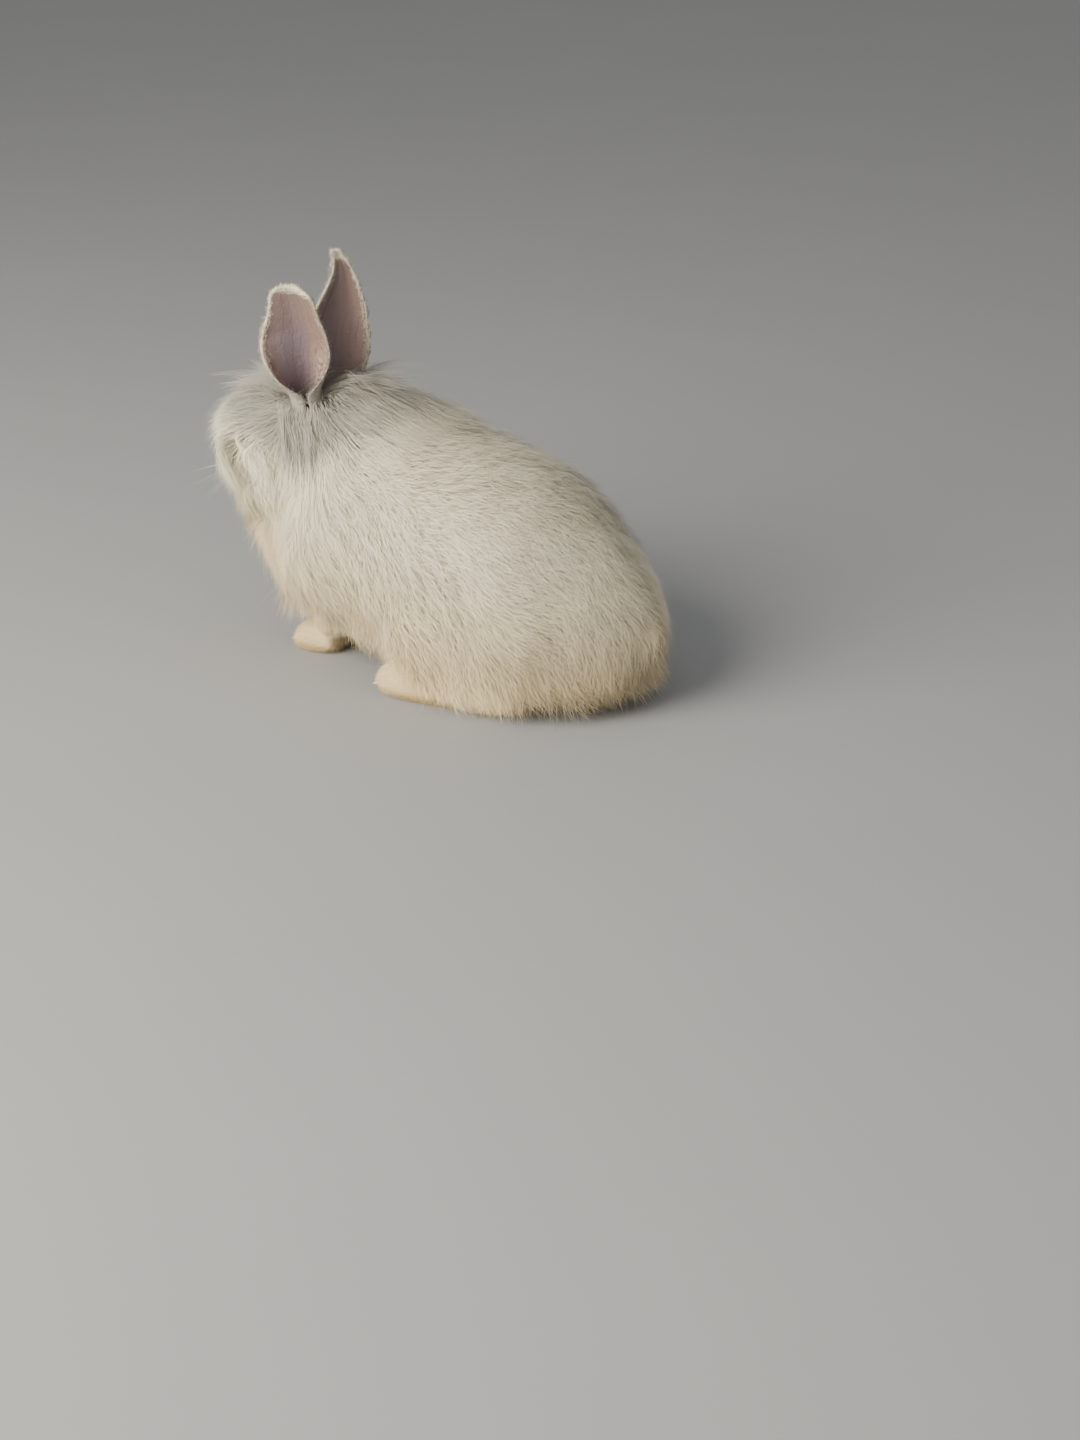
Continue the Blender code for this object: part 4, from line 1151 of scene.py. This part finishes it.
def comb(field, roots, lie, values, rings, hang):
    """Centres and outward ways of tufts that follow the skin from their sunk roots to their tips.

    Where they hang, they fall straight instead of turning in under the body.
    """
    length, height, late = values[:, LENGTH], values[:, HEIGHT], values[:, LATE]
    _, normal = field.sample(roots)
    here = roots
    centres = [roots - normal * ROOT_SUNK]
    ups = [normal]
    for k in range(1, rings + 1):
        out = (lie * normal).sum(1)
        ahead = unit(lie - normal * np.where(out > 0, out * (1 - hang), out)[:, None])
        here = here + ahead * (length / rings)[:, None]
        away, normal = field.sample(here)
        share = k / rings
        lack = height * share ** late * (1.12 - 0.25 * share ** 3) - away
        here = here + normal * np.where(lack < 0, lack * (1 - hang), lack)[:, None]
        here[:, 2] = np.maximum(here[:, 2], HAIR_CLEAR)
        centres.append(here)
        ups.append(normal)
    return np.stack(centres, 1), np.stack(ups, 1)


def hang_of(roots, normals, shares):
    """How freely hair hangs: over the floor and under the breast, but not on the feet."""
    low = np.maximum(ramp(34, 14, roots[:, 2]), ramp(0.0, -0.4, normals[:, 2]))
    return low * (1 - shares["foot"] - shares["leg"]) * (1 - 0.35 * head_share(roots))


def gather(centres, roots, clumps, lock_centres, lock_roots):
    """Draws tufts towards the locks that grow nearest, more towards their tips."""
    finder = KDTree(len(lock_roots))
    for i, at in enumerate(lock_roots):
        finder.insert(at, i)
    finder.balance()
    lock = np.array([finder.find(at)[1] for at in roots])
    steps = np.linspace(0, 1, centres.shape[1])[None, :, None]
    pull = clumps[:, None, None] * steps
    offset = (roots - lock_roots[lock])[:, None, :] * (1 - 0.8 * steps)
    return centres * (1 - pull) + (lock_centres[lock] + offset) * pull


def tuft_mesh(name, centres, ups, half_widths, uv, shade, soft=0.96):
    """Closed three-sided tapered tufts, flat towards the skin, joined into one mesh."""
    count, rings = len(centres), centres.shape[1] - 1
    points = np.empty((count, rings * 3 + 1, 3))
    for k in range(rings):
        along = unit(centres[:, k + 1] - centres[:, max(k - 1, 0)])
        across = unit(np.cross(along, ups[:, k]))
        up = np.cross(across, along)
        share = k / rings
        wide = half_widths * (0.7 + 1.3 * share * (1 - share)) * (1 - share ** 3)
        for j, (x, z) in enumerate(((-1, 0), (1, 0), (0, TUFT_TALL))):
            points[:, k * 3 + j] = centres[:, k] + across * (wide * x)[:, None] + up * (wide * z)[:, None]
    points[:, -1] = centres[:, -1]
    local = [(0, 1, 2)]
    for k in range(rings - 1):
        for j in range(3):
            a, b = k * 3 + j, k * 3 + (j + 1) % 3
            local += [(a, b + 3, b), (a, a + 3, b + 3)]
    last = (rings - 1) * 3
    local += [(last + j, last + 3, last + (j + 1) % 3) for j in range(3)]
    triangles = (np.array(local)[None] + (np.arange(count) * (rings * 3 + 1))[:, None, None]).reshape(-1, 3)
    mesh = fast_mesh(name, points.reshape(-1, 3), triangles)
    shares = np.append(np.repeat(np.arange(rings) / rings, 3), 1.0)
    point_values(mesh, "share", np.tile(shares, count))
    point_values(mesh, "shade", np.repeat(shade, rings * 3 + 1))
    sides = np.append(np.tile([0.0, 1.0, 0.5], rings), 0.5)
    patch = np.stack([sides - 0.5, shares - 0.5], 1) * PATCH
    spots = np.clip(uv[:, None, :] + patch[None], 0, 1).reshape(-1, 2)
    layer = mesh.uv_layers.new(name="OFBake")
    layer.uv.foreach_set("vector", spots[triangles.ravel()].astype(np.float32).ravel())
    soft_normals(mesh, ups, rings, soft)
    return link(name, mesh)


def soft_normals(mesh, ups, rings, soft):
    """Turns the shading of the tufts towards the skin's, so that the coat shades as one soft form."""
    own = numbers(mesh.vertices, "normal", 3)
    out = np.concatenate([np.repeat(ups[:, :rings], 3, axis=1), ups[:, -1:]], 1).reshape(-1, 3)
    mesh.normals_split_custom_set_from_vertices(unit(own * (1 - soft) + out * soft))


def clear_of_eyes(centres):
    """True where no part of a tuft reaches an eye or hangs in front of it."""
    spots = np.concatenate([centres, (centres[:, 1:] + centres[:, :-1]) / 2], 1)
    clear = np.ones(len(centres), bool)
    for side in SIDES:
        eye = in_head(EYE_AT, side)
        ahead = eye + (head_turn().col[1] * -side + head_turn().col[0] * EYE_SIGHT_AHEAD) * EYE_SIGHT
        near = near_line(spots.reshape(-1, 3), eye, ahead).reshape(spots.shape[:2])
        clear &= (near > EYE_SIGHT_RADIUS).all(1) & (far_from(spots, eye) > EYE_CLEAR).all(1)
    return clear


def clear_of_nose(roots):
    """True where a tuft doesn't grow on the nose or in the cleft and the mouth."""
    nose = far_from(roots, in_head(NOSE_PAD[0])) > NOSE_BARE
    for line, side in ((CLEFT_LINE, -1), (MOUTH_LINE, -1), (MOUTH_LINE, 1)):
        for start, end in zip(line, line[1:]):
            nose &= near_line(roots, in_head(start, side), in_head(end, side)) > LINE_BARE
    return nose


def ground(field, roots):
    """The shares of the zones at some roots, their values, and how the coat lies and hangs there."""
    _, normals = field.sample(roots)
    shares = zone_shares(roots, normals)
    return shares, zone_values(shares), lie_of(roots, normals, shares), hang_of(roots, normals, shares)


def grow(field, count, draw, length, height, width, rings, stray, reach, short):
    """One layer of the coat over the whole skin, as arrays of tufts."""
    weights = zone_values(zone_shares(field.middles, field.face_normals))[:, DENSITY]
    roots = field.roots(count, weights, draw)
    shares, values, lie, hang = ground(field, roots)
    puff = 1 + 0.10 * np.sin(roots @ PUFFS + 2 * np.sin(roots[:, [1, 2, 0]] * 0.05)).sum(1)
    x, _, z = roots.T
    skirt = ramp(38, 22, z) * ramp(-8, 12, x) * ramp(86, 70, x) * (1 - shares["foot"])
    to_nose = far_from(roots, in_head(NOSE_PAD[0]))
    values *= np.where(to_nose < 30, 0.45 + 0.55 * ramp(3, 18, to_nose), 1)[:, None]
    values[:, LENGTH] *= (1 + SKIRT * skirt) * length * (short + (LONGEST - short) * draw.random(count))
    values[:, HEIGHT] *= height * puff * (0.6 + 0.5 * draw.random(count) ** 0.7)
    values[:, HALF_WIDTH] *= width * (0.8 + 0.4 * draw.random(count))
    lie = lie + draw.normal(0, stray, (count, 3)) * 0.5
    centres, ups = comb(field, roots, lie, values, rings, hang)
    locks, lock_centres = grow_locks(field, weights, length, height, rings)
    centres = gather(centres, roots, values[:, CLUMP] * reach, lock_centres, locks)
    keep = clear_of_eyes(centres) & clear_of_nose(roots)
    return {
        "roots": roots[keep], "centres": centres[keep], "ups": ups[keep], "widths": values[keep, HALF_WIDTH],
        "shade": draw.random(count)[keep], "zone": {name: share[keep] for name, share in shares.items()},
    }


def grow_locks(field, weights, length, height, rings):
    """Roots and centres of the locks that tufts gather into, in the same places for every layer."""
    roots = field.roots(LOCKS, weights, np.random.default_rng(LOCK_SEED))
    _, values, lie, hang = ground(field, roots)
    values[:, LENGTH] *= length
    values[:, HEIGHT] *= height
    return roots, comb(field, roots, lie, values, rings, hang)[0]


def coat_groups(layer):
    """Which piece of the coat each tuft belongs to, by where it grows."""
    zone = layer["zone"]
    x = layer["roots"][:, 0]
    feet = zone["foot"] + zone["leg"]
    face = zone["muzzle"] + zone["orbit"]
    head = zone["forehead"] + zone["cheek"]
    mane = zone["nape"] + zone["mane"] + zone["ruff"]
    kinds = np.stack([feet, face, head, mane, np.full(len(x), 0.34)])
    group = kinds.argmax(0)
    body = group == 4
    group[body] = 4 + np.searchsorted((-20, 22, 66), x[body])
    names = ("feet", "face", "head", "mane", "shoulder", "loin", "haunch", "rump")
    return [(name, group == i) for i, name in enumerate(names)]


def make_coat(name, layer, material):
    """Cuts a layer into pieces and makes a mesh of each."""
    field = skin_field()
    for part, wanted in coat_groups(layer):
        if wanted.any():
            roots, centres, ups, widths, shade = (
                layer[key][wanted] for key in ("roots", "centres", "ups", "widths", "shade")
            )
            piece = tuft_mesh(f"{name}_{part}", centres, ups, widths, field.place_on_map(roots), shade)
            dress(piece, material)


def dress(piece, material):
    """Gives a piece its material and its place on the rabbit."""
    piece.data.materials.clear()
    piece.data.materials.append(material)
    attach(piece, "root")


def one_material(name, maker, *settings):
    """The material of that name, made once."""
    return bpy.data.materials.get(name) or maker(*settings)


def thinned(count):
    """Gives the count of tufts unchanged."""
    return count


# Ears


def ear_point(side, along, across, off):
    """A point of the rolled leaf: along from base to tip, across as -1 to 1 from edge to edge, off its mid sheet."""
    base, tip = EAR_BASE[side], EAR_TIP[side]
    axis = (tip - base).normalized()
    open_way = EAR_OPEN[side] + Vector((EAR_TWIST[side] * max(0.0, 1 - along / 0.6), 0, 0))
    open_way -= axis * open_way.dot(axis)
    open_way.normalize()
    wrap = math.radians(interpolate(EAR_WRAP[side], along))
    radius = interpolate(EAR_WIDTH[side], along) / wrap
    sideways = axis.cross(open_way)
    spine = base.lerp(tip, along) - open_way * (EAR_BOW * math.sin(math.pi * along) + EAR_BACK)
    spine += sideways * (EAR_LEAN[side] * math.sin(math.pi * along ** 3))
    angle = wrap / 2 * across
    away = sideways * math.sin(angle) - open_way * math.cos(angle)
    ripple = EAR_RIPPLE * math.sin(9 * across + 5 * along) * math.sin(math.pi * along)
    return spine + open_way * radius + away * (radius + off + ripple), away


def build_ear(side):
    """A leaf that is a tube with a slit at its base and an open spoon above."""
    points, values = [], []
    wide = EAR_COLUMNS + 1
    for row in evenly(EAR_ROWS):
        along = 1 - (1 - row) ** EAR_CROWDED
        for face in (1, -1):
            for k in range(wide):
                across = 2 * k / EAR_COLUMNS - 1
                half = (EAR_THICK + (EAR_RIM_THICK - EAR_THICK) * abs(across) ** 3) / 2
                points.append(ear_point(side, along, across, face * half)[0])
                values.append((across, along, 0.0 if face > 0 else 1.0))
    faces = []
    for row in range(EAR_ROWS - 1):
        low = row * 2 * wide
        high = low + 2 * wide
        for start in (0, wide):
            for k in range(EAR_COLUMNS):
                a, b = low + start + k, high + start + k
                faces.append((a, a + 1, b + 1, b))
        for k in (0, EAR_COLUMNS):
            faces.append((low + k, low + wide + k, high + wide + k, high + k))
    for low in (0, (EAR_ROWS - 1) * 2 * wide):
        for k in range(EAR_COLUMNS):
            faces.append((low + k, low + k + 1, low + wide + k + 1, low + wide + k))
    ear = closed_object(named("ear", side, "_skin"), points, faces)
    for name, column in zip(("across", "along", "inner"), zip(*values)):
        point_values(ear.data, name, column)
    ear.data.shade_smooth()
    return ear


def ear_fur(side, count, draw):
    """Short hair on the back and over both faces of the rim of an ear, lying towards its tip."""
    kind = draw.random(count)
    along = np.where(kind < EAR_FUR_RIM, 0.12 + 0.87 * draw.random(count), 0.93 + 0.065 * draw.random(count))
    edge = np.sign(draw.random(count) - 0.5)
    anywhere = 2 * draw.random(count) - 1
    across = np.where(kind < EAR_FUR_BACK, anywhere, edge * (1 - EAR_FUR_DEPTH * draw.random(count) ** 1.6))
    across = np.where(kind < EAR_FUR_RIM, across, 2 * draw.random(count) - 1)
    face = np.where(kind < EAR_FUR_OUTSIDE, 1.0, -1.0)
    roots, ways, tips = [], [], []
    for s, a, f in zip(along, across, face):
        off = f * (EAR_RIM_THICK / 2 - 0.2)
        root, away = ear_point(side, s, a, off)
        ahead, _ = ear_point(side, s + 0.03, a, off)
        beside, _ = ear_point(side, s, a + math.copysign(0.03, a), off)
        outwards = 0.35 if abs(a) > 0.75 else 0.1
        roots.append(root)
        ways.append((ahead - root).normalized() + (beside - root).normalized() * outwards)
        tips.append(away * f)
    roots, ways, away = np.array(roots), np.array(ways), np.array(tips)
    length = np.where(kind < EAR_FUR_BACK, 3.6, 2.6) * (0.55 + 0.7 * draw.random(count))
    ways = unit(ways + draw.normal(0, 0.28, (count, 3)))
    lift = (0.06 + 0.24 * draw.random(count))[:, None]
    steps = [0, 0.55, 1]
    centres = np.stack([roots + (ways * s + away * lift * s ** 1.5) * length[:, None] for s in steps], 1)
    ups = np.repeat(away[:, None], 3, axis=1)
    uv = np.stack([0.05 + 0.4 * (across + 1) / 2 + (0.5 if side > 0 else 0), 0.05 + 0.9 * along], 1)
    widths = 0.09 + 0.05 * draw.random(count)
    return tuft_mesh(named("ear_fur", side), centres, ups, widths, uv, draw.random(count), 0.35)


# Eyes, claws and whiskers


def build_eye(side):
    """An eyeball with a cornea that bulges a little, and its angle from the axis on each point."""
    turn = head_turn()
    outward = (turn.col[1] * -side + turn.col[0] * 0.12).normalized()
    middle = in_head(EYE_AT, side)
    first = outward.cross(Vector((0, 0, 1))).normalized()
    second = outward.cross(first)
    rows, columns = 40, 48
    points, off_axis, spin = [middle + outward * (EYE_RADIUS + CORNEA)], [0.0], [0.0]
    for i in range(1, rows):
        angle = math.pi * i / rows
        radius = EYE_RADIUS + CORNEA * max(0.0, math.cos(angle * 1.6)) ** 2 * (angle < 1)
        for b in turns(columns):
            away = outward * math.cos(angle) + (first * math.cos(b) + second * math.sin(b)) * math.sin(angle)
            points.append(middle + away * radius)
            off_axis.append(angle)
            spin.append(abs(math.pi - b))
    points.append(middle - outward * EYE_RADIUS)
    off_axis.append(math.pi)
    spin.append(0.0)
    faces = [(0, 1 + k, 1 + (k + 1) % columns) for k in range(columns)]
    faces += bands(rows - 1, columns, 1)
    last = 1 + (rows - 2) * columns
    faces += [(last + k, last + (k + 1) % columns, len(points) - 1) for k in range(columns)]
    eye = closed_object(named("eye", side, "_ball"), points, faces)
    point_values(eye.data, "off_axis", off_axis)
    point_values(eye.data, "spin", spin)
    eye.data.shade_smooth()
    return eye


def build_claws():
    made = []
    for side in SIDES:
        for heel, toe, _, widths, _, index in FEET:
            for at, _, along in toes(heel, toe, widths[index], side):
                root = at + along * (TOE_INSET - 1.5) - Vector((0, 0, CLAW_ROOT_LOW))
                tip = root + along * (CLAW_LONG + 1.5) - Vector((0, 0, CLAW_DROP))
                bow = Vector((0, 0, 0.7))
                centres = [root, root.lerp(tip, 0.4) + bow, root.lerp(tip, 0.75) + bow * 0.7, tip]
                made.append(tube("claw", centres, CLAW_RADII, 1.0, 10))
    claws = join("claws", made)
    claws.data.shade_smooth()
    return claws


def build_whiskers(longest, draw):
    """Long stiff hairs from the whisker pads, with a few over each eye."""
    centres, ups, widths = [], [], []
    turn = head_turn()
    for side in SIDES:
        out = turn.col[1] * -side
        for i in range(WHISKERS):
            row, place_in_row = divmod(i, WHISKERS_IN_ROW)
            over_eye = i >= WHISKERS_ON_PAD
            ahead = place_in_row / (WHISKERS_IN_ROW - 1)
            at = (66 + 9 * ahead, 12.5 - 4.5 * ahead, -4.5 - 2.4 * row)
            if over_eye:
                at = (36 + 4 * (i - WHISKERS_ON_PAD), 19, 17.5)
            root = in_head(at, side)
            spread = 0.5 - 0.16 * place_in_row + draw.normal(0, 0.06)
            rise = 0.9 if over_eye else 0.18 - 0.16 * row
            way = out * 0.9 - turn.col[0] * spread + turn.col[2] * rise
            length = longest / MM * (0.45 if over_eye else 0.75 + 0.25 * draw.random())
            droop = Vector((0, 0, -0.14 * length))
            centres.append([root + way.normalized() * length * s + droop * s * s for s in evenly(7)])
            ups.append([turn.col[2]] * 7)
            widths.append(0.1)
    count = len(centres)
    uv = np.full((count, 2), 0.5)
    return tuft_mesh("whiskers", np.array(centres), np.array(ups), np.array(widths), uv, np.ones(count))


def build_wisps(draw):
    """Loose strands over the nape, the brow and the cheeks and below an ear."""
    field = skin_field()
    centres, widths = [], []
    steps = np.linspace(0, 1, 6)[:, None]
    rows = list(WISPS)
    for side, row in itertools.product(SIDES, CHEEK_WISPS):
        count, clumps, root, spread, way, *rest = row
        rows.append((count, clumps, in_head(root, side), spread, in_head(way, side) - HEAD_AT, *rest))
    for count, clumps, root, spread, way, stray, (low, high), droop, width in rows:
        starts = np.array(root) + draw.normal(0, 0.6, (clumps, 3)) * spread
        ways = unit(np.array(way) + draw.normal(0, stray, (clumps, 3)))
        lengths = low + (high - low) * draw.random(clumps)
        for i in range(count):
            k = i % clumps
            long = lengths[k] * (0.7 + 0.3 * draw.random())
            offset = draw.normal(0, 1.8, 3) * (1 - 0.75 * steps)
            wave = np.sin(steps * 5 + k) * unit(draw.normal(0, 1, 3)) * 0.8 * steps
            fall = np.array([0, 0, -droop * long]) * steps ** 2
            centres.append(starts[k] + ways[k] * long * steps + fall + offset + wave)
            widths.append(width)
    centres = np.array(centres)
    _, ups = field.sample(centres.reshape(-1, 3))
    uv = field.place_on_map(centres[:, 0])
    shade = draw.random(len(centres))
    return tuft_mesh("wisps", centres, ups.reshape(centres.shape), np.array(widths), uv, shade)


# Stage


def add_light(name, at, aim, size, colour, power):
    data = bpy.data.lights.new(name, "AREA")
    data.shape = "DISK"
    data.size = size
    data.energy = power
    data.color = colour
    light = bpy.data.objects.new(name, data)
    bpy.context.scene.collection.objects.link(light)
    light.location = world(at)
    light.rotation_euler = (world(aim) - light.location).to_track_quat("-Z", "Y").to_euler()


def floor_material(colour):
    made, tree = new_material("pale_floor", Roughness=0.7)
    grain = noise(tree, place(tree), 6.0, 4.0)
    feed(tree, Base_Color=times(tree, tuple(colour), 0.97 + grain * 0.06))
    return made


def build_stage(settings):
    mesh = bpy.data.meshes.new("floor")
    corners = [(x * FLOOR_REACH, y * FLOOR_REACH, 0) for x, y in ((-1, -1), (1, -1), (1, 1), (-1, 1))]
    mesh.from_pydata(corners, [], [(0, 1, 2, 3)])
    floor = link("floor", mesh)
    floor.data.materials.append(floor_material(settings.floor))
    add_light("key", *KEY_LIGHT, settings.key)
    add_light("fill", *FILL_LIGHT, settings.fill)
    sky = bpy.data.worlds.new("soft_sky")
    sky.use_nodes = True
    bpy.context.scene.world = sky
    back = sky.node_tree.nodes["Background"]
    back.inputs["Color"].default_value = SKY_COLOUR
    back.inputs["Strength"].default_value = settings.sky
    data = bpy.data.cameras.new("photo_camera")
    data.lens = settings.lens
    data.clip_end = 50
    camera = bpy.data.objects.new("photo_camera", data)
    bpy.context.scene.collection.objects.link(camera)
    turn, tilt = settings.turn, settings.tilt
    ahead = Vector((-math.sin(turn) * math.cos(tilt), math.cos(turn) * math.cos(tilt), -math.sin(tilt)))
    camera.location = world(CAMERA_AT)
    camera.rotation_euler = ahead.to_track_quat("-Z", "Y").to_euler()
    bpy.context.scene.camera = camera


# Operators


class RABBIT_OT_skin(bpy.types.Operator):
    """Melts the rabbit's forms into one skin, with lids, nostrils and mouth"""

    bl_idname = "rabbit.skin"
    bl_label = "Skin"

    def execute(self, context):
        skin = build_skin()
        settings = context.scene.rabbit_coat, context.scene.rabbit_head
        dress(skin, one_material("rabbit_skin", skin_material, *settings))
        sides = ("left", "right")
        pairs = [f"{part}_{side}" for part in ("thigh", "hindfoot", "foreleg", "forepaw") for side in sides]
        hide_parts("head", "neck", "torso", "tail", *pairs)
        return {"FINISHED"}


class RABBIT_OT_ears(bpy.types.Operator):
    """Makes both ears with their short hair"""

    bl_idname = "rabbit.ears"
    bl_label = "Ears"

    def execute(self, context):
        coat, head = context.scene.rabbit_coat, context.scene.rabbit_head
        draw = np.random.default_rng(EAR_SEED)
        for side in SIDES:
            ear = build_ear(side)
            dress(ear, one_material("rabbit_ear", ear_material, coat, head))
            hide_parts("ear_left" if side < 0 else "ear_right")
            fur = ear_fur(side, thinned(EAR_FUR), draw)
            dress(fur, one_material("rabbit_coat", coat_material, coat))
        return {"FINISHED"}


class RABBIT_OT_eyes(bpy.types.Operator):
    """Makes both eyes"""

    bl_idname = "rabbit.eyes"
    bl_label = "Eyes"

    def execute(self, context):
        for side in SIDES:
            eye = build_eye(side)
            dress(eye, one_material("rabbit_eye", eye_material, context.scene.rabbit_head))
            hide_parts("eye_left" if side < 0 else "eye_right")
        return {"FINISHED"}


class RABBIT_OT_claws(bpy.types.Operator):
    """Makes the claws of all feet"""

    bl_idname = "rabbit.claws"
    bl_label = "Claws"

    def execute(self, context):
        made, tree = new_material("rabbit_claw", Roughness=0.35, Subsurface_Weight=0.2, Subsurface_Scale=0.002)
        grain = noise(tree, place(tree), 900.0, 3.0)
        feed(tree, Base_Color=blend(tree, grain, *CLAW), Normal=bump(tree, grain, 0.2, 0.0003))
        dress(build_claws(), made)
        return {"FINISHED"}


class RABBIT_OT_whiskers(bpy.types.Operator):
    """Sets the whiskers and the loose strands of the mane"""

    bl_idname = "rabbit.whiskers"
    bl_label = "Whiskers and wisps"

    def execute(self, context):
        coat = context.scene.rabbit_coat
        whiskers = build_whiskers(context.scene.rabbit_head.whisker, np.random.default_rng(WHISKER_SEED))
        material = one_material("rabbit_coat", coat_material, coat)
        dress(whiskers, material)
        dress(build_wisps(np.random.default_rng(WISP_SEED)), material)
        return {"FINISHED"}


class RABBIT_OT_coat(bpy.types.Operator):
    """Grows the coat in four layers: wide short tufts, the coat proper, fine fuzz and fine long hairs"""

    bl_idname = "rabbit.coat"
    bl_label = "Coat"

    def execute(self, context):
        coat = context.scene.rabbit_coat
        material = one_material("rabbit_coat", coat_material, coat)
        draw = np.random.default_rng(COAT_SEED)
        for name, (count, length, *rest) in LAYERS.items():
            tufts = thinned(getattr(coat, count))
            make_coat(name, grow(skin_field(), tufts, draw, length * coat.length, *rest), material)
        return {"FINISHED"}


class RABBIT_OT_stage(bpy.types.Operator):
    """Sets the floor, the lights and the camera"""

    bl_idname = "rabbit.stage"
    bl_label = "Stage"

    def execute(self, context):
        build_stage(context.scene.rabbit_stage)
        return {"FINISHED"}


class RABBIT_PT_panel(bpy.types.Panel):
    bl_label = "Lionhead Rabbit"
    bl_idname = "RABBIT_PT_panel"
    bl_space_type = "VIEW_3D"
    bl_region_type = "UI"
    bl_category = "Rabbit"

    def draw(self, context):
        for name in SETTINGS:
            settings = getattr(context.scene, name)
            for key in settings.__annotations__:
                self.layout.prop(settings, key)
        for step in OPERATORS:
            self.layout.operator(step.bl_idname)


SETTINGS = {"rabbit_coat": RabbitCoat, "rabbit_head": RabbitHead, "rabbit_stage": RabbitStage}
OPERATORS = (
    RABBIT_OT_skin,
    RABBIT_OT_ears,
    RABBIT_OT_eyes,
    RABBIT_OT_claws,
    RABBIT_OT_whiskers,
    RABBIT_OT_coat,
    RABBIT_OT_stage,
)


def register():
    for made in (*SETTINGS.values(), *OPERATORS, RABBIT_PT_panel):
        bpy.utils.register_class(made)
    for name, group in SETTINGS.items():
        setattr(bpy.types.Scene, name, PointerProperty(type=group))


def unregister():
    for name in SETTINGS:
        delattr(bpy.types.Scene, name)
    for made in (RABBIT_PT_panel, *reversed(OPERATORS), *SETTINGS.values()):
        bpy.utils.unregister_class(made)


def main():
    register()
    bpy.ops.rabbit.skin()
    bpy.ops.rabbit.ears()
    bpy.ops.rabbit.eyes()
    bpy.ops.rabbit.claws()
    bpy.ops.rabbit.whiskers()
    bpy.ops.rabbit.coat()
    bpy.ops.rabbit.stage()


if __name__ == "__main__":
    main()
